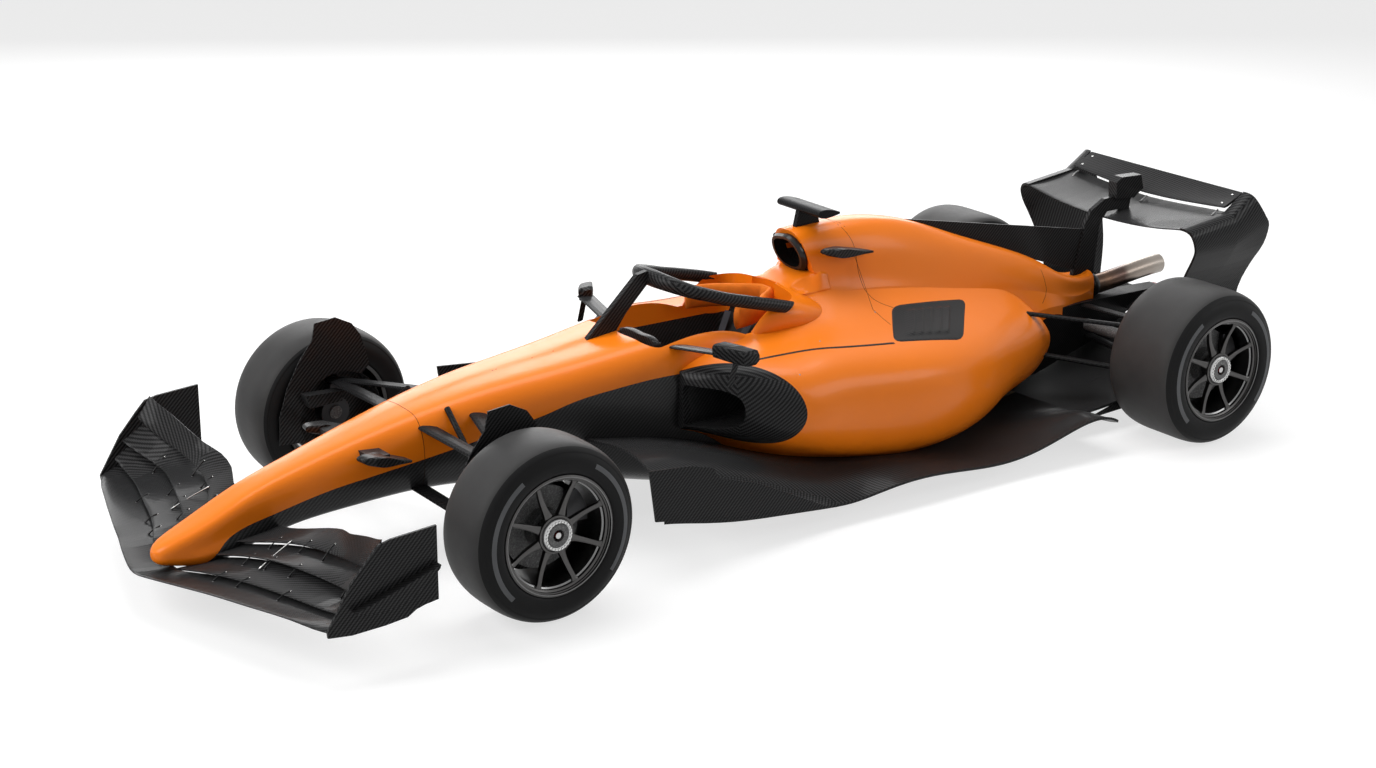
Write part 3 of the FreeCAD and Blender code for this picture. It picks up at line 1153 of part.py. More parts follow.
def main():
    os.makedirs("parts", exist_ok=True)
    wheel_set("front", 0, FRONT_TYRE_WIDTH, FRONT_AXLE_INNER_Y)
    wheel_set("rear", -WHEELBASE, REAR_TYRE_WIDTH, REAR_AXLE_INNER_Y)
    half = UPRIGHT_ARM_WIDTH / 2
    ring_y = KINGPIN_Y - half
    front_upright = upright(0, ring_y, True)
    plate_y = ring_y + UPRIGHT_RING_LENGTH
    calipers = caliper(0, plate_y + DRUM_WALL)
    duct, scoop = front_duct(FRONT_LIP_Y, plate_y)
    duct = duct.fuse(scoop)
    for side, turn in (("left", lambda s: s), ("right", mirrored)):
        save("front_upright_" + side, turn(Part.makeCompound([front_upright, calipers])))
        save("front_duct_" + side, turn(duct))
    rear_ring_y = REAR_UPRIGHT_Y
    rear_plate_y = rear_ring_y + UPRIGHT_RING_LENGTH
    rear_upright = upright(-WHEELBASE, rear_ring_y, False)
    rear_caliper = caliper(-WHEELBASE, rear_plate_y + DRUM_WALL)
    save("rear_uprights", Part.makeCompound([both_sides(rear_upright), both_sides(rear_caliper)]))
    save("rear_brake_drums", both_sides(drum(-WHEELBASE, REAR_LIP_Y, rear_plate_y)))

    front, rear, wide, low, high = PLANK_SHARES
    plank = block(px(rear), px(front), -py(wide), py(wide), pz(low), pz(high))
    whole_hull = hull().cut(plank)
    seam = px(NOSE_SEAM_SHARE)
    nose = whole_hull.common(beyond(seam, True))
    monocoque = whole_hull.common(beyond(seam, False)).cut(cockpit_room())
    collar = surround(whole_hull)
    save("nose_cone", nose)
    save("monocoque", monocoque)
    save("cockpit_surround", collar)

    cover = main_piece(plain_cover().cut(whole_hull).cut(collar))
    floor_sheet = floor()
    flank = loft([flank_wire(x, outline) for x, outline in INLET_SHARES + FLANK_SHARES])
    driver_room = cockpit_room().fuse(head_pocket())
    flank = apart(apart(flank.cut(cover), whole_hull), collar).cut(driver_room)
    flank = main_piece(flank.cut(floor_sheet).cut(ports()))
    front = extruded([Vector(px(x), py(y), 0) for x, y in SPLIT_SHARES], Vector(0, 0, BODY_HEIGHT))
    inlet = main_piece(flank.common(front).cut(mouth()))
    flank = main_piece(flank.cut(front).cut(mouth()))
    save("sidepods", both_sides(flank))
    save("sidepod_inlets", both_sides(inlet))

    ring, duct_room = intake()
    ring = main_piece(ring.cut(duct_room).cut(collar))
    engine = power_unit()
    cover = main_piece(cover.cut(duct_room).cut(ring).cut(engine).cut(ports()))
    save("airbox_intake", ring)
    save("engine_cover", cover)
    save("power_unit", engine)
    fin = side_plate(FIN_SHARES, -FIN_THICKNESS / 2, FIN_THICKNESS)
    save("shark_fin", main_piece(fin.cut(cover)))

    plain_flanks = both_sides(flank)
    box = main_piece(gearbox().cut(cover).cut(plain_flanks))
    tail = exhaust()
    tail = main_piece(tail.cut(cover).cut(box))
    rear_floor = diffuser()
    rear_floor = main_piece(rear_floor.cut(box).cut(cover).cut(plain_flanks))
    floor_sheet = main_piece(floor_sheet.cut(whole_hull).cut(cover))
    save("gearbox", box)
    save("exhaust", tail)
    save("diffuser", rear_floor)
    save("floor", both_sides(floor_sheet))
    save("plank", plank)
    front, rear, wide, low, high = LAMP_SHARES
    save("rain_light", block(px(rear), px(front), -py(wide), py(wide), pz(low), pz(high)))

    plane = front_main_plane()
    plane = plane.cut(nose)
    save("front_wing_main_plane", plane)
    flaps = [flap.cut(nose) for flap in front_flaps()]
    save("front_wing_flaps", both_sides(Part.makeCompound([main_piece(flap) for flap in flaps])))
    save("front_wing_endplates", both_sides(endplate()))

    neck = pylon()
    rear_plane = rear_main_plane()
    neck = main_piece(neck.cut(rear_plane).cut(cover).cut(fin).cut(tail).cut(box))
    save("rear_wing_pylon", neck)
    save("rear_wing_main_plane", rear_plane)
    save("rear_wing_endplates", both_sides(rear_tip()))
    beam = wing_from_shares(BEAM_SHARES, WING_THICKNESS, CAMBER_SHARE)
    save("beam_wing", both_sides(main_piece(beam.cut(box))))
    save("drs_flap", rear_flap())

    loop = halo()
    loop = main_piece(loop.cut(whole_hull).cut(collar).cut(plain_flanks))
    save("halo", loop)
    glass = mirror_left()
    save("mirrors", both_sides(main_piece(seated(seated(glass, whole_hull), inlet))))
    save("seat", main_piece(seat().cut(monocoque).cut(collar).cut(plain_flanks)))
    save("steering_wheel", main_piece(steering_wheel().cut(monocoque)))

    arms = seated(front_suspension(), whole_hull)
    save("front_suspension", both_sides(arms))
    rear_arms = rear_suspension()
    rear_arms = rear_arms.cut(box).cut(cover).cut(plain_flanks)
    save("rear_suspension", both_sides(rear_arms))

    mast = main_piece(camera_mast().cut(cover).cut(ring))
    save("camera_mast", mast)
    nose_pod = main_piece(seated(pod(NOSE_POD_SHARES, NOSE_STALK_SHARES), whole_hull))
    cover_pod = main_piece(seated(pod(COVER_POD_SHARES, COVER_STALK_SHARES), cover))
    save("camera_pods", Part.makeCompound([both_sides(nose_pod), both_sides(cover_pod)]))


main()
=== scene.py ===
import math
import bpy
from mathutils import Matrix, Vector
from mathutils.bvhtree import BVHTree

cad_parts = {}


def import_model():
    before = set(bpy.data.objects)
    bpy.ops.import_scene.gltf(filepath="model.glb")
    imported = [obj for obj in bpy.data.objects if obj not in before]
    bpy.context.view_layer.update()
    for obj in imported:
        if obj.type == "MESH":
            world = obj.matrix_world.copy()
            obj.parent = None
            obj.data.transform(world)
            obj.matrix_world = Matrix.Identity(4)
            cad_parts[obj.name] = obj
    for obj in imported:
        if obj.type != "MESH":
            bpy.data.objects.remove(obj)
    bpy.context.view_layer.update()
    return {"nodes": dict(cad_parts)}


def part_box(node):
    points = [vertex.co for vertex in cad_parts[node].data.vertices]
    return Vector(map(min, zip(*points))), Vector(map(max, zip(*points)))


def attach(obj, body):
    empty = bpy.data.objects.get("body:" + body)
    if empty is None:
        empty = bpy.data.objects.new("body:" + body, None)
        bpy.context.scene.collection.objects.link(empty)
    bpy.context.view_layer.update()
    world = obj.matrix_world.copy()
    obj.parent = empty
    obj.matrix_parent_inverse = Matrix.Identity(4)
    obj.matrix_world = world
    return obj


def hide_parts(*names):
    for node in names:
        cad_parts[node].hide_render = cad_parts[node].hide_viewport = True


# Looks of an open wheel racing car: satin orange body, carbon wings and floor, slick tyres on dark
# spoked rims. Metres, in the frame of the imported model: nose towards +X, left side towards +Y.

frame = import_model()
NODES = frame["nodes"]


def middle(node):
    low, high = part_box(node)
    return (low + high) / 2


FRONT_X = middle("tyre_front_left").x
AXLE_Z = middle("tyre_front_left").z
HALF_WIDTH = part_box("tyre_front_left")[1].y

# Camera measured from the photograph: place from the front axle, heading, tilt and roll
CAMERA_PLACE = (4.88323, 8.31554, 3.88792)
CAMERA_HEADING = math.radians(-126.7303)
CAMERA_TILT = math.radians(-18.3803)
CAMERA_ROLL = math.radians(0.9953)
CAMERA_LENS = 66.45
CAMERA_SENSOR = 36.0


# Mesh helpers

SKIN_EDGE = 0.1        # share of a skin's lift at its rim, so that it meets the surface
RIBBON_EDGE = 0.2
RIBBON_FLAT = 0.8
CORNER_INSET = 0.6     # how far a panel's rounded corner comes in, as a share of its rounding
SCREW_PROFILE = ((-0.3, 0.9), (0.0, 1.0), (0.25, 0.92), (0.42, 0.6), (0.42, 0.36), (0.16, 0.34))


def mesh_object(name, points, faces, materials, body, smooth=True):
    """A mesh piece with its vertices in the row frame that rides on a body."""
    mesh = bpy.data.meshes.new(name)
    mesh.from_pydata([tuple(p) for p in points], [], faces)
    mesh.validate()
    for material in materials:
        mesh.materials.append(material)
    if smooth:
        mesh.polygons.foreach_set("use_smooth", [True] * len(mesh.polygons))
    piece = bpy.data.objects.new(name, mesh)
    bpy.context.scene.collection.objects.link(piece)
    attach(piece, body)
    return piece


def crisp(piece, degrees):
    """Keeps edges sharper than this angle crisp under smooth shading."""
    piece.data.set_sharp_from_angle(angle=math.radians(degrees))


def rings_to_faces(count, around, first=0, flipped=False):
    """Faces that join rings of points, closed at both ends, from a first point on."""
    faces = []
    for i in range(count - 1):
        a, b = i * around, (i + 1) * around
        for j in range(around):
            k = (j + 1) % around
            faces.append((a + j, a + k, b + k, b + j))
    faces.append(tuple(range(around - 1, -1, -1)))
    faces.append(tuple(range((count - 1) * around, count * around)))
    faces = [tuple(first + v for v in face) for face in faces]
    return [face[::-1] for face in faces] if flipped else faces


def grid_faces(rows, columns):
    """Faces of a grid of points with this many cells."""
    faces = []
    for i in range(rows):
        for j in range(columns):
            k = i * (columns + 1) + j
            faces.append((k, k + 1, k + columns + 2, k + columns + 1))
    return faces


def spline_points(points, steps):
    """Catmull-Rom samples through tuples of numbers, ends included."""
    rows = [points[0]] + list(points) + [points[-1]]
    out = []
    for i in range(1, len(rows) - 2):
        p0, p1, p2, p3 = rows[i - 1], rows[i], rows[i + 1], rows[i + 2]
        for step in range(steps):
            t = step / steps
            out.append(tuple(
                0.5 * (2 * b + (c - a) * t
                       + (2 * a - 5 * b + 4 * c - d) * t * t + (3 * b - a - 3 * c + d) * t ** 3)
                for a, b, c, d in zip(p0, p1, p2, p3)
            ))
    out.append(tuple(rows[-1]))
    return out


def lathe(name, profile, axle_x, materials, body, segments=128, paint=None, side=1):
    """Turns (y, radius) rows about a wheel's axle; paint(row) picks a material slot."""
    points, faces, slots = [], [], []
    for y, radius in profile:
        for j in range(segments):
            turn = 2 * math.pi * j / segments
            points.append((axle_x + radius * math.cos(turn), side * y, AXLE_Z + radius * math.sin(turn)))
    for i in range(len(profile) - 1):
        for j in range(segments):
            k = (j + 1) % segments
            quad = (i * segments + j, i * segments + k, (i + 1) * segments + k, (i + 1) * segments + j)
            faces.append(quad if side > 0 else quad[::-1])
            slots.append(paint(i) if paint else 0)
    piece = mesh_object(name, points, faces, materials, body)
    piece.data.polygons.foreach_set("material_index", slots)
    return piece


TREES = {}


def struck(node, start, way):
    """Where a line from a place first meets a node's surface, with the normal facing the line."""
    if node not in TREES:
        mesh = NODES[node].data
        faces = [tuple(p.vertices) for p in mesh.polygons]
        TREES[node] = BVHTree.FromPolygons([v.co for v in mesh.vertices], faces)
    way = Vector(way).normalized()
    spot, normal, *_ = TREES[node].ray_cast(Vector(start), way)
    if spot is None:
        return None
    return spot, -normal if normal.dot(way) > 0 else normal


def both(points):
    """Places from the front axle on the left side, then their mirror images, in the row frame."""
    left = [(x + FRONT_X, y, z) for x, y, z in points]
    return ("left", left), ("right", [(x, -y, z) for x, y, z in left])


def towards_middle(side, y, z):
    """A direction across the car from one side."""
    return (0, -y if side == "left" else y, z)


SIDES = (("left", 1), ("right", -1))
DOWN = (0, 0, -1)
ABOVE = 2.0            # a height over the whole car, from which lines are cast down


def cast_line(nodes, starts, way, steps=6):
    """Places and normals where lines cast one way from a smooth row of places meet the nearest node."""
    spots = []
    for p in spline_points(starts, steps):
        hits = [hit for hit in (struck(node, p, way) for node in nodes) if hit]
        if hits:
            spots.append(min(hits, key=lambda hit: (hit[0] - Vector(p)).length))
    return spots


def cast_ring(node, x, z, start, end, count=48, reach=0.7):
    """Places and normals round a body's section at x, found from outside."""
    spots = []
    for i in range(count + 1):
        angle = math.radians(start + (end - start) * i / count)
        way = Vector((0, -math.cos(angle), -math.sin(angle)))
        hit = struck(node, Vector((x, 0, z)) - way * reach, way)
        if hit:
            spots.append(hit)
    return spots


def ribbon(name, spots, width, material, lift=0.0006, body="chassis"):
    """A thin strip laid along a row of places on a surface."""
    points = []
    for i, (spot, normal) in enumerate(spots):
        along = spots[min(i + 1, len(spots) - 1)][0] - spots[max(i - 1, 0)][0]
        across = along.cross(normal).normalized() * width / 2
        points += [spot - across + normal * lift * RIBBON_EDGE, spot - across * RIBBON_FLAT + normal * lift,
                   spot + across * RIBBON_FLAT + normal * lift, spot + across + normal * lift * RIBBON_EDGE]
    return mesh_object(name, points, grid_faces(len(spots) - 1, 3), [material], body)


def panel(name, node, corners, way, rows, columns, material, lift, relief=None, rounding=0.16):
    """A skin laid on the surface inside four corners, its own corners rounded; relief(u, v) raises it."""
    a, b, c, d = (Vector(p) for p in corners)
    points = []
    for i in range(rows + 1):
        v = i / rows
        edge = min(v, 1 - v) / rounding
        bend = 1 - math.sqrt(max(0.0, 1 - (1 - edge) ** 2)) if edge < 1 else 0.0
        inset = rounding * CORNER_INSET * bend
        for j in range(columns + 1):
            u = inset + (1 - 2 * inset) * j / columns
            start = (a * (1 - u) + b * u) * (1 - v) + (d * (1 - u) + c * u) * v
            spot, normal = struck(node, start, way) or (start, -Vector(way).normalized())
            height = lift + (relief(u, v) if relief else 0.0)
            if i in (0, rows) or j in (0, columns):
                height = lift * SKIN_EDGE
            points.append(spot + normal * height)
    piece = mesh_object(name, points, grid_faces(rows, columns), [material], "chassis")
    if sum(p.normal.dot(Vector(way)) for p in piece.data.polygons) > 0:
        piece.data.flip_normals()
    return piece


def turned(name, place, axis, profile, material, segments, body="chassis"):
    """Turns (height, radius) rows about any axis through a place."""
    turn = Vector((0, 0, 1)).rotation_difference(Vector(axis)).to_matrix()
    points = []
    for height, radius in profile:
        for j in range(segments):
            angle = 2 * math.pi * j / segments
            spot = Vector((radius * math.cos(angle), radius * math.sin(angle), height))
            points.append(Vector(place) + turn @ spot)
    crisp(mesh_object(name, points, rings_to_faces(len(profile), segments), [material], body), 40)


def screw(name, place, normal, radius, material, body="chassis"):
    """Button screw with a driver recess."""
    profile = [(radius * height, radius * width) for height, width in SCREW_PROFILE]
    turned(name, place, normal, profile, material, 16, body)


def tube(name, path, radius, material, sides, flat=1.0):
    """A rod along a path, its section stretched upwards by a share."""
    points = []
    for i, p in enumerate(path):
        along = Vector(path[min(i + 1, len(path) - 1)]) - Vector(path[max(i - 1, 0)])
        across = along.cross(Vector((0, 0, 1)))
        across = across.normalized() if across.length > 1e-6 else Vector((0, 1, 0))
        up = across.cross(along).normalized()
        r = radius[i] if isinstance(radius, (list, tuple)) else radius
        for j in range(sides):
            angle = 2 * math.pi * j / sides
            points.append(Vector(p) + across * (r * math.cos(angle)) + up * (r * flat * math.sin(angle)))
    return mesh_object(name, points, rings_to_faces(len(path), sides), [material], "chassis")


# Materials


class Graph:
    """Short calls for building one node material."""

    def __init__(self, name):
        self.material = bpy.data.materials.new(name)
        self.material.use_nodes = True
        self.tree = self.material.node_tree
        self.shader = self.tree.nodes["Principled BSDF"]

    def node(self, kind, **settings):
        made = self.tree.nodes.new(kind)
        for key, value in settings.items():
            setattr(made, key, value)
        return made

    def join(self, source, target):
        self.tree.links.new(source, target)

    def put(self, socket, value):
        if isinstance(value, bpy.types.NodeSocket):
            self.join(value, socket)
        else:
            socket.default_value = value

    def math(self, operation, a, b=0.0):
        made = self.node("ShaderNodeMath", operation=operation)
        self.put(made.inputs[0], a)
        self.put(made.inputs[1], b)
        return made.outputs[0]

    def blend(self, factor, a, b):
        made = self.node("ShaderNodeMix", data_type="FLOAT")
        self.put(made.inputs[0], factor)
        self.put(made.inputs[2], a)
        self.put(made.inputs[3], b)
        return made.outputs[0]

    def colours(self, factor, a, b):
        made = self.node("ShaderNodeMix", data_type="RGBA")
        self.put(made.inputs[0], factor)
        self.put(made.inputs[6], (*a, 1) if isinstance(a, tuple) else a)
        self.put(made.inputs[7], (*b, 1) if isinstance(b, tuple) else b)
        return made.outputs[2]

    def place(self, output="Object"):
        return self.node("ShaderNodeTexCoord").outputs[output]

    def split(self, vector):
        made = self.node("ShaderNodeSeparateXYZ")
        self.join(vector, made.inputs[0])
        return made.outputs[0], made.outputs[1], made.outputs[2]

    def noise(self, scale, detail=2.0, roughness=0.5):
        made = self.node("ShaderNodeTexNoise")
        self.join(self.place(), made.inputs["Vector"])
        made.inputs["Scale"].default_value = scale
        made.inputs["Detail"].default_value = detail
        made.inputs["Roughness"].default_value = roughness
        return made.outputs["Fac"]

    def ramp(self, factor, *stops):
        made = self.node("ShaderNodeValToRGB")
        self.join(factor, made.inputs[0])
        ramp = made.color_ramp
        while len(ramp.elements) < len(stops):
            ramp.elements.new(0.5)
        for element, (place, colour) in zip(ramp.elements, stops):
            element.position = place
            element.color = (*colour, 1)
        return made.outputs[0]

    def curve(self, value, points):
        """A smooth line through (value, result) points, for marking out one finish from another."""
        low, high = points[0][0], points[-1][0]
        made = self.node("ShaderNodeFloatCurve")
        line = made.mapping.curves[0]
        line.points[0].location = (0, points[0][1])
        line.points[1].location = (1, points[-1][1])
        for place, result in points[1:-1]:
            line.points.new((place - low) / (high - low), result)
        made.mapping.update()
        share = self.math("DIVIDE", self.math("SUBTRACT", value, low), high - low)
        self.put(made.inputs["Value"], share)
        return made.outputs[0]

    def bump(self, height, strength, distance):
        made = self.node("ShaderNodeBump")
        self.join(height, made.inputs["Height"])
        made.inputs["Strength"].default_value = strength
        made.inputs["Distance"].default_value = distance
        self.join(made.outputs[0], self.shader.inputs["Normal"])

    def set(self, **values):
        for key, value in values.items():
            socket = self.shader.inputs[key.replace("_", " ").title().replace("Ior", "IOR")]
            self.put(socket, (*value, 1) if isinstance(value, tuple) else value)


PAINT_SPECULAR = 0.17
RUBBER_SPECULAR = 0.12
TWILL_SPECULAR = 0.055
TWILL_REPEAT = 4.0     # tows after which the weave repeats
TWILL_OVER = 1.5       # tows of a repeat that lie on top, with room for rounding
TOW_UNDER = 0.10       # how bright a tow is where it lies under
TOW_EDGE_SHADE = 0.40        # how bright a tow is at its edge: painted shade where the tow rounds down


def paint_look(g, colour, shade, roughness, coat):
    """Satin body paint: faint cloudiness, fine orange peel and a clear coat."""
    return {
        "base_color": g.colours(g.noise(3.0, 3.0), shade, colour),
        "roughness": g.blend(g.noise(14.0, 4.0), roughness * 0.85, roughness * 1.15),
        "coat_weight": coat,
        "specular_ior_level": PAINT_SPECULAR,
    }, g.math("MULTIPLY", g.noise(420.0, 1.0), 0.3)


def twill_look(g, dark, light, tow, coat, roughness):
    """Carbon cloth, two over two, laid by whichever way the surface faces, under clear resin."""
    x, y, z = g.split(g.place())
    facing = [g.math("ABSOLUTE", part) for part in g.split(g.place("Normal"))]
    flat = g.math("GREATER_THAN", facing[2], g.math("MAXIMUM", facing[0], facing[1]))
    upright = g.math("GREATER_THAN", facing[1], facing[0])
    along = g.blend(g.math("MAXIMUM", flat, upright), y, x)
    across = g.blend(flat, z, y)
    along, across = g.math("DIVIDE", along, tow), g.math("DIVIDE", across, tow)
    step = g.math("ADD", g.math("FLOOR", along), g.math("FLOOR", across))
    over = g.math("LESS_THAN", g.math("FLOORED_MODULO", step, TWILL_REPEAT), TWILL_OVER)
    crown = g.blend(over, g.math("FRACT", along), g.math("FRACT", across))
    crown = g.math("SINE", g.math("MULTIPLY", crown, math.pi))
    # Painted shade: each tow is darker towards its edges and lighter on its crown, on top of the two tones of
    # the weave
    bright = g.math("MULTIPLY", g.blend(over, TOW_UNDER, 1.0), g.blend(crown, TOW_EDGE_SHADE, 1.0))
    return {
        "base_color": g.colours(bright, dark, light),
        "roughness": g.blend(over, roughness * 1.25, roughness * 0.8),
        "coat_weight": coat,
        "specular_ior_level": TWILL_SPECULAR,
    }, crown


def paint_material(name, *look):
    g = Graph(name)
    values, height = paint_look(g, *look)
    g.set(coat_roughness=0.12, **values)
    g.bump(height, 0.15, 0.0004)
    return g.material


def twill_material(name, *look):
    g = Graph(name)
    values, height = twill_look(g, *look)
    g.set(coat_roughness=0.08, **values)
    g.bump(height, 0.12, 0.0006)
    return g.material


def within(g, value, low, high):
    return g.math("MULTIPLY", g.math("GREATER_THAN", value, low), g.math("LESS_THAN", value, high))


def two_tone_material(name, line, room, inwards_only=False):
    """Orange paint above a line on the flank and bare carbon cloth below it and inside a room."""
    g = Graph(name)
    x, y, z = g.split(g.place())
    wide = g.math("ABSOLUTE", y)
    above = g.math("GREATER_THAN", z, g.curve(x, line)) if line else 1.0
    (x_low, x_high), half, (z_low, z_high) = room
    inside = g.math("MULTIPLY", within(g, x, x_low, x_high), within(g, z, z_low, z_high))
    inside = g.math("MULTIPLY", inside, g.math("LESS_THAN", wide, half))
    if inwards_only:
        sideways = g.math("MULTIPLY", g.split(g.place("Normal"))[1], g.math("SIGN", y))
        inside = g.math("MULTIPLY", inside, g.math("LESS_THAN", sideways, 0.3))
    above = g.math("MULTIPLY", above, g.math("SUBTRACT", 1.0, inside))
    painted, peel = paint_look(g, *PAINT_LOOK)
    cloth, crown = twill_look(g, *TWILL_LOOK)
    g.set(
        base_color=g.colours(above, cloth["base_color"], painted["base_color"]),
        roughness=g.blend(above, cloth["roughness"], painted["roughness"]),
        coat_weight=g.blend(above, cloth["coat_weight"], painted["coat_weight"]),
        coat_roughness=0.1,
        specular_ior_level=PAINT_SPECULAR,
    )
    g.bump(g.blend(above, crown, peel), 0.12, 0.0005)
    return g.material


def rubber_material(name, colour, worn, roughness):
    g = Graph(name)
    wear = g.noise(5.0, 5.0, 0.6)
    g.set(
        base_color=g.colours(wear, colour, worn),
        roughness=g.blend(g.noise(40.0, 3.0), roughness - 0.06, roughness + 0.08),
        specular_ior_level=RUBBER_SPECULAR,
    )
    g.bump(g.noise(260.0, 3.0, 0.7), 0.25, 0.0006)
    return g.material


def metal_material(name, colour, roughness, grain=90.0):
    g = Graph(name)
    fleck = g.noise(grain, 3.0, 0.6)
    darker = tuple(c * 0.72 for c in colour)
    g.set(
        base_color=g.colours(fleck, darker, colour),
        roughness=g.blend(fleck, roughness * 0.8, roughness * 1.25),
    )
    g.shader.inputs["Metallic"].default_value = 1.0
    g.bump(fleck, 0.08, 0.0003)
    return g.material


def plastic_material(name, colour, roughness, coat=0.0):
    g = Graph(name)
    lighter = tuple(min(1.0, c * 1.5 + 0.003) for c in colour)
    g.set(
        base_color=g.colours(g.noise(30.0, 3.0), colour, lighter),
        roughness=g.blend(g.noise(60.0, 2.0), roughness * 0.85, roughness * 1.15),
        coat_weight=coat,
        specular_ior_level=RUBBER_SPECULAR,
    )
    g.bump(g.noise(500.0, 2.0), 0.1, 0.0003)
    return g.material


def disc_material(name):
    """Carbon brake disc: mottled dark and pale grey fibres."""
    g = Graph(name)
    mottle = g.noise(160.0, 4.0, 0.8)
    g.set(
        base_color=g.ramp(
            mottle, (0.3, (0.02, 0.02, 0.02)), (0.55, (0.09, 0.09, 0.09)), (0.75, (0.3, 0.3, 0.3))
        ),
        roughness=g.blend(mottle, 0.65, 0.4),
    )
    g.bump(mottle, 0.5, 0.001)
    return g.material


def heat_material(name, start_x, end_x):
    """Titanium tube tinted by heat along its length, from straw and brown near the engine to grey."""
    g = Graph(name)
    x = g.split(g.place())[0]
    along = g.math("DIVIDE", g.math("SUBTRACT", x, start_x), end_x - start_x)
    along = g.math("ADD", along, g.math("MULTIPLY", g.math("SUBTRACT", g.noise(9.0, 3.0), 0.5), 0.35))
    g.set(
        base_color=g.ramp(
            along,
            (0.0, (0.07, 0.055, 0.05)),
            (0.25, (0.20, 0.12, 0.08)),
            (0.42, (0.10, 0.065, 0.055)),
            (0.55, (0.24, 0.20, 0.17)),
            (1.0, (0.30, 0.27, 0.24)),
        ),
        roughness=g.blend(g.noise(120.0, 4.0), 0.22, 0.42),
    )
    g.shader.inputs["Metallic"].default_value = 1.0
    g.bump(g.noise(240.0, 2.0), 0.08, 0.0003)
    return g.material


# Colour, shade, roughness and coat of the paint, and tones, tow width, coat and roughness of the cloth
PAINT_LOOK = ((0.84, 0.195, 0.006), (0.79, 0.178, 0.005), 0.33, 0.10)
TWILL_LOOK = ((0.0025, 0.0025, 0.0028), (0.046, 0.046, 0.047), 0.0050, 0.05, 0.30)

# Height of the colour line along the flank, from the front axle
COLOUR_LINE = tuple((FRONT_X + x, z) for x, z in (
    (-1.95, 0.640), (-1.45, 0.630), (-1.15, 0.615), (-0.919, 0.609), (-0.778, 0.597), (-0.593, 0.575),
    (-0.41, 0.533), (0.312, 0.408), (0.489, 0.379), (0.70, 0.328), (0.889, 0.277), (1.02, 0.18), (1.25, 0.10),
))
ORANGE = paint_material("paint_orange", *PAINT_LOOK)

# Rooms of bare cloth inside the body: range of x, half width and range of z
MOUTH_LOW, MOUTH_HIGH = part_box("airbox_intake")
COCKPIT = ((FRONT_X - 1.80, FRONT_X - 0.45), 0.262, (0.13, 0.655))
DUCT = ((FRONT_X - 1.54, FRONT_X - 0.90), 0.575, (0.37, 0.605))
THROAT = ((MOUTH_LOW.x - 0.25, MOUTH_HIGH.x), 0.089, (MOUTH_LOW.z + 0.006, MOUTH_HIGH.z - 0.030))
TWO_TONE = two_tone_material("paint_and_carbon", COLOUR_LINE, COCKPIT, True)
PODS = two_tone_material("pod_paint", None, DUCT)
COVER = two_tone_material("cover_paint", None, THROAT)
TWILL = twill_material("carbon_twill", *TWILL_LOOK)
SATIN_LOOK = ((0.002, 0.002, 0.0022), (0.018, 0.018, 0.019), 0.0042, 0.03, 0.42)
TWILL_SATIN = twill_material("carbon_satin", *SATIN_LOOK)
SIDEWALL = rubber_material("tyre_sidewall", (0.0035, 0.0035, 0.0037), (0.006, 0.006, 0.0063), 0.5)
TREAD = rubber_material("tyre_tread", (0.022, 0.022, 0.023), (0.050, 0.049, 0.048), 0.5)
STRIPE = rubber_material("tyre_stripe", (0.085, 0.088, 0.092), (0.12, 0.123, 0.128), 0.6)
GUNMETAL = metal_material("rim_gunmetal", (0.085, 0.083, 0.082), 0.3)
BRIGHT = metal_material("machined_bright", (0.62, 0.62, 0.61), 0.22)
STEEL = metal_material("steel", (0.26, 0.26, 0.26), 0.38)
UPRIGHT = metal_material("upright_grey", (0.055, 0.055, 0.057), 0.45)
LIP = metal_material("rim_lip", (0.20, 0.20, 0.20), 0.25)
NUT_RING = metal_material("machined_ring", (0.55, 0.55, 0.55), 0.28, 700.0)
NUT_RED = metal_material("anodised_red", (0.16, 0.012, 0.010), 0.3)
DISC = disc_material("brake_disc")
BLACK = plastic_material("black_plastic", (0.006, 0.006, 0.006), 0.42, 0.3)
MATT = plastic_material("black_matt", (0.010, 0.010, 0.010), 0.75)
# Dark joints between panels, also used as the painted shade inside the chassis holes
SEAM_AND_HOLE_SHADE = plastic_material("seam_and_hole_shade", (0.012, 0.005, 0.002), 0.8)
PALE = plastic_material("camera_grey", (0.30, 0.31, 0.32), 0.35, 0.5)
GLASS = metal_material("mirror_glass", (0.75, 0.80, 0.80), 0.06, 20.0)
LAMP = plastic_material("lamp_red", (0.35, 0.006, 0.006), 0.2, 0.8)
PADDING = plastic_material("padding_orange", (0.55, 0.13, 0.010), 0.7)
BELT = plastic_material("belt_webbing", (0.030, 0.030, 0.034), 0.8)
SCREEN = plastic_material("display_black", (0.008, 0.009, 0.012), 0.15, 0.5)
WOOD = plastic_material("plank_composite", (0.10, 0.075, 0.05), 0.7)


def dress(material, *nodes):
    """Gives a carried-over CAD node its finish."""
    for name in nodes:
        slots = NODES[name].data.materials
        slots.clear()
        slots.append(material)


# Wheels

STRIPE_INNER, STRIPE_OUTER = 0.284, 0.303
STRIPE_ARCS = ((-44, 56), (122, 219))        # start and end in degrees
STRIPE_LIFT = 0.0009
STRIPE_STEPS, STRIPE_ROWS = 48, 4
TREAD_INSET = 0.030
BEAD_WIDTH, BEAD_RADIUS = 0.012, 0.240
LINER_RADIUS = 0.334

# Section of a tyre from its bead to the middle of its tread: inset from the widest plane, and radius
SIDEWALL_ROWS = (
    (0.0300, 0.232), (0.0200, 0.238), (0.0100, 0.243), (0.0045, 0.250), (0.0020, 0.258), (0.0006, 0.268),
    (0.0, 0.278), (0.0, 0.288), (0.0022, 0.300), (0.0060, 0.311), (0.0116, 0.322), (0.0135, 0.3255),
    (0.0138, 0.3285), (0.0190, 0.335), (0.0300, 0.3445), (0.0450, 0.3515), (0.0650, 0.3560),
    (0.0900, 0.3588), (0.1200, 0.3600),
)

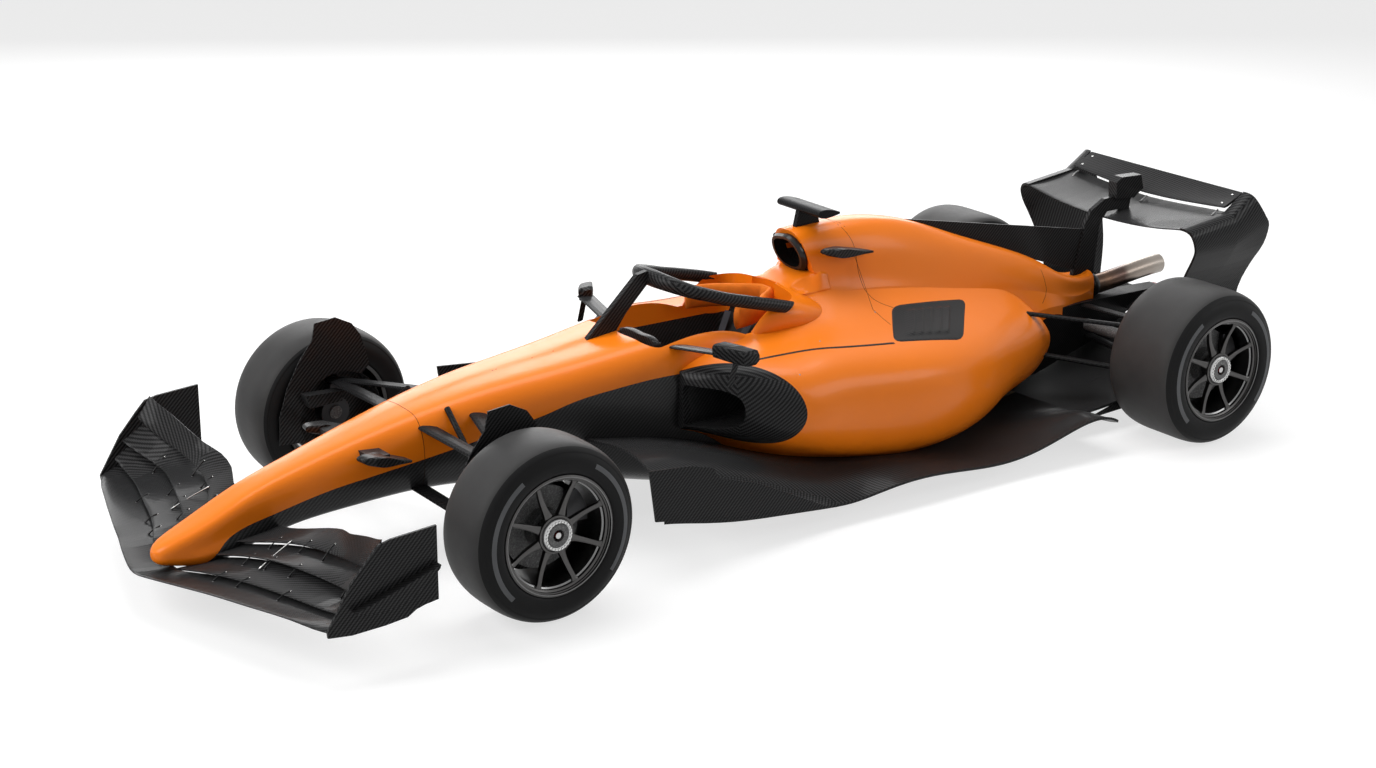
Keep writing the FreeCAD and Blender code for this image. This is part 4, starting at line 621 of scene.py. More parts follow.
# Sections of the rim, the boss and the nut: place across the car from the named plane, and radius
RIM_FACE = (
    (-0.020, 0.2300), (-0.001, 0.2305), (0.000, 0.2330), (-0.003, 0.2400), (-0.008, 0.2405),
    (-0.009, 0.2300), (-0.010, 0.2250), (-0.016, 0.2235), (-0.020, 0.2165), (-0.030, 0.2150),
    (-0.034, 0.2090), (-0.060, 0.2075),
)
RIM_BACK = (
    (0.060, 0.2060), (0.020, 0.2200), (0.004, 0.2260), (0.000, 0.2400), (0.006, 0.2400), (0.008, 0.2330),
    (0.030, 0.2230), (0.070, 0.2120),
)
RIM_SEAT = ((-0.070, 0.2130), (-0.020, 0.2300))
RIM_LIP_ROWS = (1, 9)
BOSS = ((-0.040, 0.066), (-0.004, 0.077), (0.004, 0.075), (0.006, 0.068), (0.002, 0.064), (-0.010, 0.062))
NUT = (
    (-0.034, 0.0660), (-0.010, 0.0660), (-0.003, 0.0630), (0.0005, 0.0590), (0.0005, 0.0500),
    (-0.003, 0.0465), (-0.014, 0.0450), (-0.014, 0.0380), (-0.028, 0.0350), (-0.028, 0.0180),
    (-0.008, 0.0160), (-0.002, 0.0120), (-0.0005, 0.0060), (0.0, 0.0005),
)
NUT_RECESS_ROWS, NUT_PIN_ROWS = (6, 7, 8), (9, 10)
LUGS, LUG_RING, LUG_FOOT, LUG_RISE, LUG_TAPER = 24, 0.0545, 0.001, 0.0035, 0.8
LUG_DEEP, LUG_WIDE = 0.0045, 0.0038

SPOKES, SPOKE_PHASE, SPOKE_STATIONS = 8, 22.5, 22
SPOKE_INNER, SPOKE_OUTER = 0.052, 0.2150
SPOKE_INSET, SPOKE_END_INSET, SPOKE_DISH = 0.030, 0.022, 0.012
SPOKE_RUN = 1.6                              # above one, a spoke turns outwards late
SPOKE_HALF, SPOKE_FLARE, SPOKE_WAIST, SPOKE_FOOT = 0.0115, 0.019, 0.0015, 0.005
SPOKE_FLARE_SHARE, SPOKE_FOOT_SHARE = 0.16, 0.035
SPOKE_DEEP, SPOKE_DEEPER = 0.0135, 0.010     # depth at the rim, and what the boss adds
SPOKE_SECTION = (
    (-1, -0.25), (-0.86, 0.0), (-0.3, 0.18), (0.3, 0.18), (0.86, 0.0), (1, -0.25), (0.8, -1), (-0.8, -1),
)
BOX_SECTION = ((-1, -1), (1, -1), (1, 1), (-1, 1))


def wheel_body(corner):
    return "wheel_" + corner


def faces_out(node):
    """How far a node's inner and outer face lie from the car's middle."""
    return sorted(abs(corner.y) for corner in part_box(node))


def spoke_axes(turn):
    """Directions out along a spoke and across it."""
    return Vector((math.cos(turn), 0, math.sin(turn))), Vector((-math.sin(turn), 0, math.cos(turn)))


def tyre(corner, side):
    node = "tyre_" + corner
    low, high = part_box(node)
    width = high.y - low.y
    axle = middle(node).x
    half = spline_points(SIDEWALL_ROWS, 2)
    outer = [(HALF_WIDTH - inset, radius) for inset, radius in half]
    inner = [(HALF_WIDTH - width + inset, radius) for inset, radius in reversed(half)]
    liner = [
        (inner[-1][0] + BEAD_WIDTH, BEAD_RADIUS), (HALF_WIDTH - width / 2, LINER_RADIUS),
        (outer[0][0] - BEAD_WIDTH, BEAD_RADIUS), outer[0],
    ]
    profile = outer + inner + liner

    def kind(row):
        tread = HALF_WIDTH - width + TREAD_INSET <= abs(profile[row][0]) <= HALF_WIDTH - TREAD_INSET
        return 1 if tread and row < len(outer) + len(inner) else 0

    piece = lathe(node + "_rubber", profile, axle, [SIDEWALL, TREAD], wheel_body(corner), 144, kind, side)
    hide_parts(node)
    for number, (start, end) in enumerate(STRIPE_ARCS):
        stripe(corner, axle, start, end, number, side)


def sidewall_inset(radius):
    for (inset_a, a), (inset_b, b) in zip(SIDEWALL_ROWS, SIDEWALL_ROWS[1:]):
        if a <= radius <= b:
            return inset_a + (inset_b - inset_a) * (radius - a) / (b - a)
    return 0.0


def stripe(corner, axle, start, end, number, side):
    """A printed arc on the sidewall, as a thin skin that follows its bulge."""
    points = []
    for i in range(STRIPE_ROWS + 1):
        radius = STRIPE_INNER + (STRIPE_OUTER - STRIPE_INNER) * i / STRIPE_ROWS
        for j in range(STRIPE_STEPS + 1):
            turn = math.radians(start + (end - start) * j / STRIPE_STEPS)
            y = HALF_WIDTH - sidewall_inset(radius) + STRIPE_LIFT
            points.append((axle + radius * math.cos(turn), side * y, AXLE_Z + radius * math.sin(turn)))
    faces = [quad if side > 0 else quad[::-1] for quad in grid_faces(STRIPE_ROWS, STRIPE_STEPS)]
    mesh_object(f"tyre_{corner}_stripe_{number + 1}", points, faces, [STRIPE], wheel_body(corner))


def rim(corner, side):
    node = "rim_" + corner
    axle = middle(node).x
    inner, outer = faces_out(node)
    section = []
    for plane, rows in ((outer, RIM_FACE), (inner, RIM_BACK), (outer, RIM_SEAT)):
        section += [(plane + y, radius) for y, radius in rows]

    def kind(row):
        return 1 if row in RIM_LIP_ROWS else 0

    barrel = lathe(node + "_barrel", section, axle, [GUNMETAL, LIP], wheel_body(corner), 128, kind, side)
    crisp(barrel, 30)
    spokes(corner, axle, outer, side)
    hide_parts(node)


def spoke_section(radius):
    """Half width and depth of a spoke at a radius: flared into the boss and waisted before its foot."""
    share = (radius - SPOKE_INNER) / (SPOKE_OUTER - SPOKE_INNER)
    flare = SPOKE_FLARE * math.exp(-share / SPOKE_FLARE_SHARE)
    foot = SPOKE_FOOT * math.exp(-(1 - share) / SPOKE_FOOT_SHARE)
    return SPOKE_HALF + flare - SPOKE_WAIST * share + foot, SPOKE_DEEP + SPOKE_DEEPER * (1 - share)


def spokes(corner, axle, outer, side):
    hub_y, tip_y = outer - SPOKE_INSET, outer - SPOKE_END_INSET
    points, faces = [], []
    for number in range(SPOKES):
        out, across = spoke_axes(math.radians(SPOKE_PHASE + 360 / SPOKES * number))
        first = len(points)
        for i in range(SPOKE_STATIONS + 1):
            share = i / SPOKE_STATIONS
            radius = SPOKE_INNER + (SPOKE_OUTER - SPOKE_INNER) * share
            half, deep = spoke_section(radius)
            y = hub_y + (tip_y - hub_y) * share ** SPOKE_RUN - SPOKE_DISH * math.sin(math.pi * share)
            for a, b in SPOKE_SECTION:
                p = Vector((axle, 0, AXLE_Z)) + out * radius + across * (half * a)
                points.append((p.x, side * (y + deep * b), p.z))
        faces += rings_to_faces(SPOKE_STATIONS + 1, len(SPOKE_SECTION), first, side > 0)
    crisp(mesh_object(f"rim_{corner}_spokes", points, faces, [GUNMETAL], wheel_body(corner)), 40)
    boss = [(hub_y + y, radius) for y, radius in BOSS]
    crisp(lathe(f"rim_{corner}_boss", boss, axle, [GUNMETAL], wheel_body(corner), 96, None, side), 30)


def nut(corner, side):
    """Machined wheel nut: a castellated silver ring round a dark recess with a red locking pin."""
    axle = middle("tyre_" + corner).x
    outer = faces_out("hub_" + corner)[1]
    ring = [(outer + y, radius) for y, radius in NUT]

    def kind(row):
        return 1 if row in NUT_RECESS_ROWS else 2 if row in NUT_PIN_ROWS else 0

    finishes = [NUT_RING, BLACK, NUT_RED]
    crisp(lathe(f"wheel_nut_{corner}", ring, axle, finishes, wheel_body(corner), 96, kind, side), 30)
    lugs(corner, axle, outer, side)


def lugs(corner, axle, outer, side):
    """Small raised lugs round the nut's face."""
    points, faces = [], []
    for number in range(LUGS):
        out, across = spoke_axes(2 * math.pi * number / LUGS)
        first = len(points)
        for y, reach in ((outer - LUG_FOOT, 1.0), (outer + LUG_RISE, LUG_TAPER)):
            for a, b in BOX_SECTION:
                p = out * (LUG_RING + LUG_DEEP * a * reach) + across * (LUG_WIDE * b * reach)
                points.append((axle + p.x, side * y, AXLE_Z + p.z))
        faces += rings_to_faces(2, len(BOX_SECTION), first, side > 0)
    mesh_object(f"wheel_nut_{corner}_lugs", points, faces, [BRIGHT], wheel_body(corner), smooth=False)


for corner, side in (("front_left", 1), ("front_right", -1), ("rear_left", 1), ("rear_right", -1)):
    tyre(corner, side)
    rim(corner, side)
    nut(corner, side)
    dress(DISC, "hub_" + corner)

# Finishes of the carried-over nodes

dress(ORANGE, "cockpit_surround")
dress(COVER, "engine_cover")
dress(PODS, "sidepods")
dress(TWO_TONE, "nose_cone", "monocoque")
dress(
    TWILL, "front_wing_main_plane", "front_wing_flaps", "front_wing_endplates", "sidepod_inlets", "floor",
    "diffuser", "shark_fin", "rear_wing_main_plane", "rear_wing_endplates", "rear_wing_pylon", "drs_flap",
    "beam_wing", "halo", "front_duct_left", "front_duct_right", "rear_brake_drums", "camera_pods", "mirrors",
    "seat",
)
dress(TWILL_SATIN, "front_suspension", "rear_suspension", "camera_mast", "gearbox", "steering_wheel")
dress(BLACK, "airbox_intake", "power_unit")
dress(WOOD, "plank")
dress(LAMP, "rain_light")
dress(UPRIGHT, "front_upright_left", "front_upright_right", "rear_uprights")
EXHAUST_BACK, EXHAUST_FRONT = (corner.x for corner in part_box("exhaust"))
dress(heat_material("heat_tinted", EXHAUST_FRONT, EXHAUST_BACK), "exhaust")

# Panel joints, screws and skins on the body: places from the front axle, read from the photograph and
# cast on the surface from outside

SEAM_WIDTH, NOSE_SEAM_WIDTH = 0.002, 0.0022
NOSE_RING = (0.45, -35, 215)                 # height of the middle, and the angles of the joint's ends
CHASSIS_HOLES = (-0.328, -0.345, -0.519, -0.622)
HOLE_Y, HOLE_SUNK, HOLE_RADIUS = 0.006, 0.001, 0.0035
COVER_SEAM = (
    (-2.14, -0.003, 1.3), (-2.115, 0.06, 1.3), (-2.07, 0.12, 1.24), (-2.12, 0.19, 1.10), (-2.13, 0.24, 0.98),
    (-2.16, 0.32, 0.90), (-2.234, 0.36, 0.85),
)
TAIL_SEAM = ((-3.325, 1, 0.66), (-3.340, 1, 0.60), (-3.344, 1, 0.55), (-3.30, 1, 0.51))
POD_STRIP = ((-1.300, 0.476, 1), (-1.531, 0.465, 1), (-1.786, 0.484, 1), (-2.06, 0.488, 1))
POD_STRIP_WIDTH, POD_STRIP_LIFT = 0.013, 0.0012
POD_SCREWS = ((-1.701, 0.421, 1), (-2.116, 0.291, 1), (-1.45, 0.60, 1), (-2.62, 0.30, 1))
POD_SCREW_SUNK, POD_SCREW_RADIUS = 0.0005, 0.004
LOUVRE_CORNERS = (
    (-2.234, 0.266, 0.708), (-2.72, 0.218, 0.649), (-2.46, 0.49, 0.57), (-2.065, 0.481, 0.627),
)
LOUVRE_START = Vector((0, 0.24, 0.32))       # from the corners on the surface out to where lines start
LOUVRE_ACROSS, LOUVRE_ALONG = (0.16, 0.78), (0.14, 0.86)
LOUVRE_GILLS, LOUVRE_LIFT, LOUVRE_HEIGHT, LOUVRE_END = 5, 0.0025, 0.0075, 0.06


def body_details():
    nose_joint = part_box("nose_cone")[0].x + 0.001
    ribbon("nose_joint", cast_ring("nose_cone", nose_joint, *NOSE_RING), NOSE_SEAM_WIDTH, SEAM_AND_HOLE_SHADE)
    # Each hole is a dark disc sunk into the chassis top: painted shade inside the hole
    for x in CHASSIS_HOLES:
        spot, normal = struck("monocoque", (FRONT_X + x, HOLE_Y, ABOVE), DOWN)
        place = spot - normal * HOLE_SUNK
        screw(f"chassis_hole_{abs(round(x * 1000))}", place, normal, HOLE_RADIUS, SEAM_AND_HOLE_SHADE)
    for name, seam, lean in (("cover_joint_", COVER_SEAM, (0.5, -0.87)), ("tail_joint_", TAIL_SEAM, (1, 0))):
        for side, starts in both(seam):
            spots = cast_line(["engine_cover", "sidepods"], starts, towards_middle(side, *lean))
            ribbon(name + side, spots, SEAM_WIDTH, SEAM_AND_HOLE_SHADE)
    for side, starts in both(POD_STRIP):
        spots = cast_line(["sidepods"], starts, DOWN)
        ribbon("pod_strip_" + side, spots, POD_STRIP_WIDTH, TWILL, POD_STRIP_LIFT)
    for side, places in both([Vector(corner) + LOUVRE_START for corner in LOUVRE_CORNERS]):
        way = towards_middle(side, 0.6, -0.8)
        panel("louvre_panel_" + side, "sidepods", places, way, 40, 60, TWILL, LOUVRE_LIFT, louvres)
    for side, starts in both(POD_SCREWS):
        for number, start in enumerate(starts):
            spot, normal = struck("sidepods", start, DOWN)
            place = spot - normal * POD_SCREW_SUNK
            screw(f"pod_screw_{side}_{number}", place, normal, POD_SCREW_RADIUS, STEEL)


def louvres(u, v):
    """Slanted gills across the middle of the panel."""
    (first, last), (low, high) = LOUVRE_ACROSS, LOUVRE_ALONG
    if not (first < u < last and low < v < high):
        return 0.0
    edge = min(1.0, (v - low) / LOUVRE_END, (high - v) / LOUVRE_END)
    return LOUVRE_HEIGHT * edge * (((u - first) / (last - first) * LOUVRE_GILLS) % 1.0)


# Brackets, stays and screws of the wings. The brackets' slot, and their place from axle and middle:

SLOT_BRACKETS = (
    (1, 1.050, 0.28), (1, 1.011, 0.39), (1, 0.951, 0.60),
    (2, 0.927, 0.28), (2, 0.892, 0.385), (2, 0.856, 0.51),
    (3, 0.811, 0.27), (3, 0.759, 0.41), (3, 0.730, 0.54), (3, 0.790, 0.785),
)
BRACKET_AHEAD, BRACKET_BEHIND, BRACKET_RISE, BRACKET_RADIUS = 0.024, 0.030, 0.006, 0.0026
SLOT_SCREW, FLAP_SCREW, REAR_SCREW = 0.0040, 0.0055, 0.0050
STAY_ENDS, STAY_RISE, STAY_RADIUS = ((0.930, 0.372), (0.775, 0.345)), 0.004, 0.0024
REAR_SCREW_Y, FLAP_SCREWS = 0.463, (("front", -4.105), ("rear", -4.172))
REAR_BRACKET_X, REAR_BRACKET_REACH = -4.045, Vector((-0.035, 0, 0.018))
REAR_BRACKET_RISE, REAR_BRACKET_RADIUS = 0.004, 0.0032
ACTUATOR_PLACE, ACTUATOR_REACH = (-4.035, 0.008), Vector((-0.045, 0, 0.022))
ACTUATOR_RISE, ACTUATOR_RADIUS = 0.003, 0.0030
BOW_STEPS, BOW_SIDES, BOW_FLAT = 8, 8, 1.4
BOW_END, BOW_WAIST = 1.35, 0.7


def bow(name, first, last, rise, radius, material):
    """A bowed strap between two places, thicker at its ends."""
    path, sizes = [], []
    for i in range(BOW_STEPS + 1):
        t = i / BOW_STEPS
        arch = math.sin(math.pi * t)
        path.append(first.lerp(last, t) + Vector((0, 0, rise * arch)))
        sizes.append(radius * (BOW_END - BOW_WAIST * arch))
    tube(name, path, sizes, material, BOW_SIDES, BOW_FLAT)


def top_of(nodes, x, y):
    """The highest surface of some nodes at a place from the front axle."""
    hits = [hit for hit in (struck(node, (FRONT_X + x, y, ABOVE), DOWN) for node in nodes) if hit]
    return max(hits, key=lambda hit: hit[0].z) if hits else None


def slot_brackets():
    planes = ["front_wing_main_plane", "front_wing_flaps"]
    for name, side in SIDES:
        for slot, x, y in SLOT_BRACKETS:
            first = top_of(planes, x + BRACKET_AHEAD, side * y)
            last = top_of(planes, x - BRACKET_BEHIND, side * y)
            if not first or not last:
                continue
            label = f"{name}_{slot}_{round(y * 1000)}"
            bow("slot_bracket_" + label, first[0], last[0], BRACKET_RISE, BRACKET_RADIUS, BLACK)
            screw("slot_screw_front_" + label, *first, SLOT_SCREW, STEEL)
            screw("slot_screw_rear_" + label, *last, SLOT_SCREW, BRIGHT)
        ends = [top_of(planes, x, side * y) for x, y in STAY_ENDS]
        if all(ends):
            first, last = (spot + Vector((0, 0, STAY_RISE)) for spot, _ in ends)
            bow("flap_stay_" + name, first, last, STAY_RISE, STAY_RADIUS, BRIGHT)


def rear_wing_details():
    for name, side in SIDES:
        for place, x in FLAP_SCREWS:
            hit = top_of(["drs_flap"], x, side * REAR_SCREW_Y)
            if hit:
                screw(f"rear_flap_screw_{place}_{name}", *hit, FLAP_SCREW, BRIGHT, "drs")
        hit = top_of(["rear_wing_main_plane"], REAR_BRACKET_X, side * REAR_SCREW_Y)
        if hit:
            end = hit[0] + REAR_BRACKET_REACH
            bow("rear_bracket_" + name, hit[0], end, REAR_BRACKET_RISE, REAR_BRACKET_RADIUS, STEEL)
            screw("rear_bracket_screw_" + name, *hit, REAR_SCREW, BRIGHT)
    hit = top_of(["rear_wing_main_plane"], *ACTUATOR_PLACE)
    if hit:
        bow("actuator_rod", hit[0], hit[0] + ACTUATOR_REACH, ACTUATOR_RISE, ACTUATOR_RADIUS, STEEL)


MIRROR_CORNERS = ((-1.40, 0.489, 0.742), (-1.40, 0.594, 0.722), (-1.40, 0.594, 0.768), (-1.40, 0.489, 0.780))
MIRROR_LIFT, MIRROR_ROUNDING = 0.0012, 0.3


def mirrors():
    for side, places in both(MIRROR_CORNERS):
        panel("mirror_glass_" + side, "mirrors", places, (1, 0, 0), 12, 24, GLASS, MIRROR_LIFT,
              rounding=MIRROR_ROUNDING)


# Padding and belts in the cockpit

HEAD_PAD = (
    (-1.44, 0.192), (-1.53, 0.176), (-1.60, 0.142), (-1.655, 0.100), (-1.70, 0.072), (-1.735, 0.040),
    (-1.745, 0.0),
)
HEAD_PAD_Z, HEAD_PAD_INSET, HEAD_PAD_RADIUS, HEAD_PAD_HEIGHT = 0.765, 0.012, 0.020, 2.6
SEAT_CELLS, SEAT_HALF, SEAT_FOOT_Z, SEAT_HEIGHT = 12, 0.118, 0.44, 0.27
SEAT_X, SEAT_LEAN, SEAT_CURVE, SEAT_INSET = -1.50, 0.155, 1.2, 0.018
SEAT_PUFF, SEAT_EDGE, SEAT_WRAP, SEAT_SKIN = 0.030, 0.004, 0.03, 0.012
BELT_CELLS, BELT_WIDTH, BELT_THICKNESS, BELT_LIFT = 8, 0.042, 0.0022, 0.050
BELT_Y, BELT_SPREAD, BELT_Z, BELT_LENGTH = 0.055, 0.025, 0.46, 0.245


def head_padding():
    path = [(FRONT_X + x, y - HEAD_PAD_INSET, HEAD_PAD_Z) for x, y in HEAD_PAD]
    path[-1] = (path[-1][0] + HEAD_PAD_INSET, 0.0, HEAD_PAD_Z)
    left = spline_points(path, 4)
    whole = left + [(x, -y, z) for x, y, z in reversed(left[:-1])]
    pad = tube("head_padding", whole, HEAD_PAD_RADIUS, PADDING, 16, HEAD_PAD_HEIGHT)


def seat_padding():
    points = []
    for i in range(SEAT_CELLS + 1):
        t = i / SEAT_CELLS
        for j in range(SEAT_CELLS + 1):
            u = 2 * j / SEAT_CELLS - 1
            x = FRONT_X + SEAT_X - SEAT_LEAN * t ** SEAT_CURVE - SEAT_INSET
            puff = SEAT_PUFF * (1 - u ** 4) * (1 - (2 * t - 1) ** 6) + SEAT_EDGE
            points.append((x + puff + SEAT_WRAP * u * u, SEAT_HALF * u, SEAT_FOOT_Z + SEAT_HEIGHT * t))
    cushion = mesh_object("seat_padding", points, grid_faces(SEAT_CELLS, SEAT_CELLS), [MATT], "chassis")
    cushion.modifiers.new("thickness", "SOLIDIFY").thickness = SEAT_SKIN


def belts():
    for name, side in SIDES:
        raised = []
        for i in range(BELT_CELLS + 1):
            y = BELT_Y + BELT_SPREAD * i / BELT_CELLS
            z = BELT_Z + BELT_LENGTH * i / BELT_CELLS
            hit = struck("seat", (FRONT_X - 1.0, side * y, z), (-1, 0, 0))
            if hit:
                raised.append((hit[0] + Vector((BELT_LIFT, 0, 0)), hit[1]))
        if len(raised) > 2:
            ribbon("belt_" + name, raised, BELT_WIDTH, BELT, BELT_THICKNESS)


# Steering wheel: places across the car and up from its middle

WHEEL_MIDDLE_Z = 0.655
WHEEL_HALF = (
    (0.0, 0.062), (0.060, 0.064), (0.100, 0.060), (0.128, 0.044), (0.134, 0.014), (0.126, -0.022),
    (0.132, -0.050), (0.122, -0.070), (0.098, -0.066), (0.086, -0.036), (0.060, -0.048), (0.0, -0.052),
)
WHEEL_RINGS = ((0.000, 0.90), (0.004, 0.98), (0.012, 1.0), (0.026, 1.0), (0.032, 0.97), (0.034, 0.88))
WHEEL_FRONT, CONTROL_FRONT = 0.002, 0.003    # how far the body and the controls stand before the solid
GRIP_PATH = ((0.119, 0.046), (0.122, 0.014), (0.117, -0.016), (0.118, -0.052))
GRIP_X, GRIP_RADIUS = 0.014, 0.019
KNOBS = ((0.075, 0.040), (0.078, 0.008), (0.060, -0.024))
KNOB_PROFILE = ((0, 0.011), (0.007, 0.010), (0.009, 0.006), (0.009, 0.0005))
DISPLAY_CORNERS = ((-0.046, -0.022), (0.046, -0.022), (0.046, 0.036), (-0.046, 0.036))
DISPLAY_FRONT, DISPLAY_BACK, DISPLAY_FOOT = 0.006, 0.001, 1.06
LIGHT_COUNT, LIGHT_STEP, LIGHT_Z = 9, 0.0115, 0.050
LIGHT_PROFILE = ((0, 0.0035), (0.002, 0.0033), (0.003, 0.0018), (0.0032, 0.0003))
COLUMN_STARTS, COLUMN_RADIUS = (0.029, 0.149), 0.018


def wheel_face():
    """Yoke shaped steering wheel: grips, display, knobs, shift lights and column."""
    low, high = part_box("steering_wheel")
    centre = Vector((low.x, 0, WHEEL_MIDDLE_Z))
    right = [(-y, z) for y, z in reversed(WHEEL_HALF[1:-1])]
    outline = spline_points(list(WHEEL_HALF) + right + [WHEEL_HALF[0]], 4)[:-1]
    points = []
    for inset, share in WHEEL_RINGS:
        x = centre.x - WHEEL_FRONT + inset
        points += [(x, y * share, centre.z + z * share) for y, z in outline]
    faces = rings_to_faces(len(WHEEL_RINGS), len(outline))
    crisp(mesh_object("wheel_body", points, faces, [TWILL], "chassis"), 40)
    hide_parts("steering_wheel")
    for name, side in SIDES:
        grip = [centre + Vector((GRIP_X, side * y, z)) for y, z in GRIP_PATH]
        tube("wheel_grip_" + name, spline_points(grip, 4), GRIP_RADIUS, MATT, 14)
        for number, (y, z) in enumerate(KNOBS):
            place = (centre.x - CONTROL_FRONT, side * y, centre.z + z)
            finish = NUT_RED if number == 1 else STEEL
            turned(f"wheel_knob_{name}_{number}", place, (-1, 0, 0), KNOB_PROFILE, finish, 20)
    points = []
    for x, share in ((centre.x - DISPLAY_FRONT, 1), (centre.x - DISPLAY_BACK, DISPLAY_FOOT)):
        points += [(x, y * share, centre.z + z * share) for y, z in DISPLAY_CORNERS]
    faces = [(0, 1, 2, 3)] + [(i, i + 4, (i + 1) % 4 + 4, (i + 1) % 4) for i in range(4)]
    mesh_object("wheel_display", points, faces, [SCREEN], "chassis", smooth=False)
    for number in range(LIGHT_COUNT):
        y = (number - LIGHT_COUNT // 2) * LIGHT_STEP
        place = (centre.x - CONTROL_FRONT, y, centre.z + LIGHT_Z)
        turned(f"wheel_light_{number}", place, (-1, 0, 0), LIGHT_PROFILE, PALE, 12)
    column = [(centre.x + start, 0, centre.z) for start in COLUMN_STARTS] + [(high.x, 0, centre.z)]
    tube("wheel_column", column, COLUMN_RADIUS, STEEL, 16)


# Headrest fairing: for each station from the front axle, places out from the middle and up

FAIRING = (
    (-1.765, ((0, 0.8325), (0.06, 0.8315), (0.10, 0.829), (0.12, 0.826), (0.14, 0.821), (0.165, 0.813))),
    (-1.800, ((0, 0.846), (0.06, 0.844), (0.10, 0.8385), (0.12, 0.8245), (0.14, 0.8125), (0.165, 0.806))),
    (-1.840, ((0, 0.864), (0.06, 0.862), (0.10, 0.8565), (0.12, 0.8365), (0.14, 0.818), (0.165, 0.8035))),
    (-1.880, ((0, 0.871), (0.06, 0.870), (0.10, 0.867), (0.125, 0.846), (0.145, 0.8235), (0.165, 0.8025))),
    (-1.920, ((0, 0.871), (0.06, 0.871), (0.10, 0.881), (0.134, 0.880), (0.152, 0.845), (0.168, 0.8035))),
    (-1.965, ((0, 0.860), (0.06, 0.860), (0.10, 0.866), (0.134, 0.872), (0.150, 0.842), (0.168, 0.8035))),
)
FAIRING_THICKNESS = 0.003


def headrest_fairing():
    """Smooth bridge from the cockpit collar up to the air intake, over the ends of the panels."""
    columns = list(zip(*([(FRONT_X + x, y, z) for y, z in half] for x, half in FAIRING)))
    rows = list(zip(*(spline_points(column, 5) for column in columns)))
    points = []
    for row in rows:
        half = spline_points(row, 4)
        points += [(x, -y, z) for x, y, z in reversed(half[1:])] + list(half)
    faces = grid_faces(len(rows) - 1, len(points) // len(rows) - 1)
    fairing = mesh_object("headrest_fairing", points, faces, [ORANGE], "chassis")
    if sum(p.normal.z for p in fairing.data.polygons) < 0:
        fairing.data.flip_normals()
    fairing.modifiers.new("thickness", "SOLIDIFY").thickness = FAIRING_THICKNESS


COLLAR_PLACE, COLLAR_AXIS = (FRONT_X - 3.715, 0, 0.502), (-1, 0, 0.03)
COLLAR_PROFILE = (
    (0.0, 0.0475), (0.0, 0.056), (0.006, 0.059), (0.030, 0.058), (0.036, 0.055), (0.036, 0.0475),
)

body_details()
slot_brackets()
rear_wing_details()
mirrors()
head_padding()
seat_padding()
belts()
wheel_face()
headrest_fairing()
turned("exhaust_collar", COLLAR_PLACE, COLLAR_AXIS, COLLAR_PROFILE, BLACK, 64)


# Stage, lights and camera

FLOOR_HALF, FLOOR_GREY = 40.0, 0.82
FLOOR_GLOW, FLOOR_SHARE = 1.30, 0.52     # the glow that is seen, and its share of the look
SKY_LEVEL = 0.30                         # how strongly the world lights the car

# Name, place, aim, width and height, and power of each light
LIGHTS = (
    ("overhead", (-0.3, -0.6, 5.0), (-0.2, 0, 0), (7.0, 2.2), 230),
    ("far_side", (-4.0, -7.6, 4.0), (0.4, 0, 0.4), (10.0, 4.0), 520),
    ("front", (7.0, -1.5, 4.6), (1.6, 0, 0.3), (4.5, 4.0), 330),
    ("rear_left", (-5.0, 4.5, 3.5), (-1.0, 0, 0.5), (3.0, 2.0), 70),
)


def backdrop_rays(tree):
    """One for rays from the camera, in reflections and through glass, which see the pale backdrop."""
    rays = tree.nodes.new("ShaderNodeLightPath")
    value = rays.outputs["Is Camera Ray"]
    for kind in ("Is Glossy Ray", "Is Transmission Ray"):
        most = tree.nodes.new("ShaderNodeMath")
        most.operation = "MAXIMUM"
        tree.links.new(value, most.inputs[0])
        tree.links.new(rays.outputs[kind], most.inputs[1])
        value = most.outputs[0]
    return value


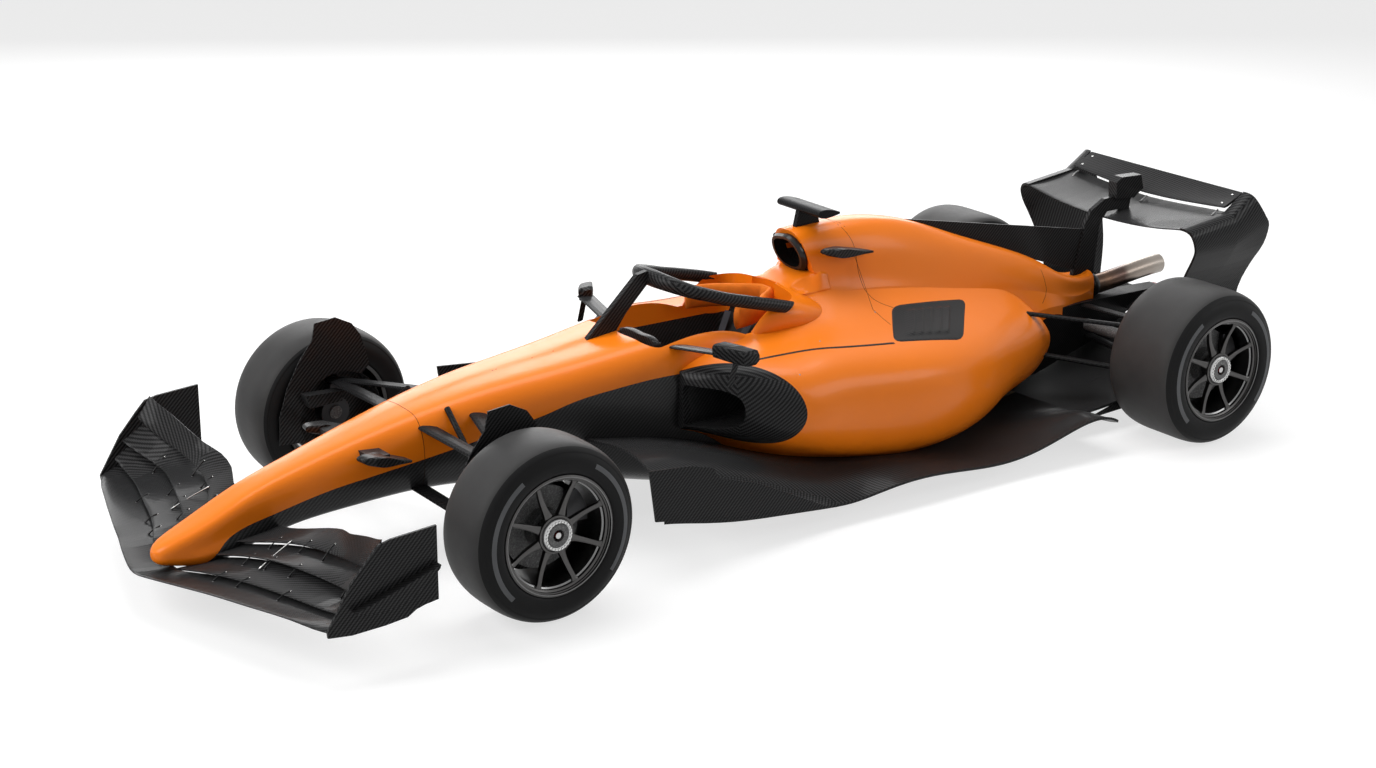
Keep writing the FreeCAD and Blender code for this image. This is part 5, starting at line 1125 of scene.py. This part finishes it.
def stage():
    mesh = bpy.data.meshes.new("floor_plane")
    corners = [(a * FLOOR_HALF, b * FLOOR_HALF, 0) for a, b in BOX_SECTION]
    mesh.from_pydata(corners, [], [(0, 1, 2, 3)])
    ground = bpy.data.objects.new("floor_plane", mesh)
    bpy.context.scene.collection.objects.link(ground)
    g = Graph("stage_floor")
    g.set(roughness=0.9)
    g.shader.inputs["Base Color"].default_value = (*[FLOOR_GREY] * 3, 1)
    glow = g.node("ShaderNodeEmission")
    mix = g.node("ShaderNodeMixShader")
    glow.inputs["Strength"].default_value = FLOOR_GLOW
    g.join(g.math("MULTIPLY", backdrop_rays(g.tree), FLOOR_SHARE), mix.inputs[0])
    g.join(g.shader.outputs[0], mix.inputs[1])
    g.join(glow.outputs[0], mix.inputs[2])
    g.join(mix.outputs[0], g.tree.nodes["Material Output"].inputs["Surface"])
    mesh.materials.append(g.material)


def world():
    made = bpy.data.worlds.new("studio")
    bpy.context.scene.world = made
    made.use_nodes = True
    tree = made.node_tree
    back = tree.nodes["Background"]
    level = tree.nodes.new("ShaderNodeMix")
    level.data_type = "FLOAT"
    level.inputs[2].default_value = SKY_LEVEL
    level.inputs[3].default_value = 1.0
    tree.links.new(backdrop_rays(tree), level.inputs[0])
    tree.links.new(level.outputs[0], back.inputs["Strength"])
    back.inputs["Color"].default_value = (1, 1, 1, 1)


def area(name, place, aim, size, power):
    light = bpy.data.lights.new(name, "AREA")
    light.shape = "RECTANGLE"
    light.size, light.size_y = size
    light.energy = power
    lamp = bpy.data.objects.new(name, light)
    lamp.location = place
    lamp.rotation_mode = "QUATERNION"
    lamp.rotation_quaternion = (Vector(aim) - Vector(place)).to_track_quat("-Z", "Y")
    bpy.context.scene.collection.objects.link(lamp)


def camera():
    heading, tilt, roll = CAMERA_HEADING, CAMERA_TILT, CAMERA_ROLL
    ahead = Vector((math.cos(tilt) * math.cos(heading), math.cos(tilt) * math.sin(heading), math.sin(tilt)))
    right = ahead.cross(Vector((0, 0, 1))).normalized()
    up = right.cross(ahead)
    leaned = right * math.cos(roll) + up * math.sin(roll)
    top = up * math.cos(roll) - right * math.sin(roll)
    data = bpy.data.cameras.new("camera")
    data.lens = CAMERA_LENS
    data.sensor_width = CAMERA_SENSOR
    made = bpy.data.objects.new("camera", data)
    turn = Matrix((leaned, top, -ahead)).transposed().to_4x4()
    made.matrix_world = Matrix.Translation(Vector(CAMERA_PLACE) + Vector((FRONT_X, 0, 0))) @ turn
    bpy.context.scene.collection.objects.link(made)
    bpy.context.scene.camera = made


stage()
world()
for light in LIGHTS:
    area(*light)
camera()
bpy.context.scene.view_settings.view_transform = "Standard"
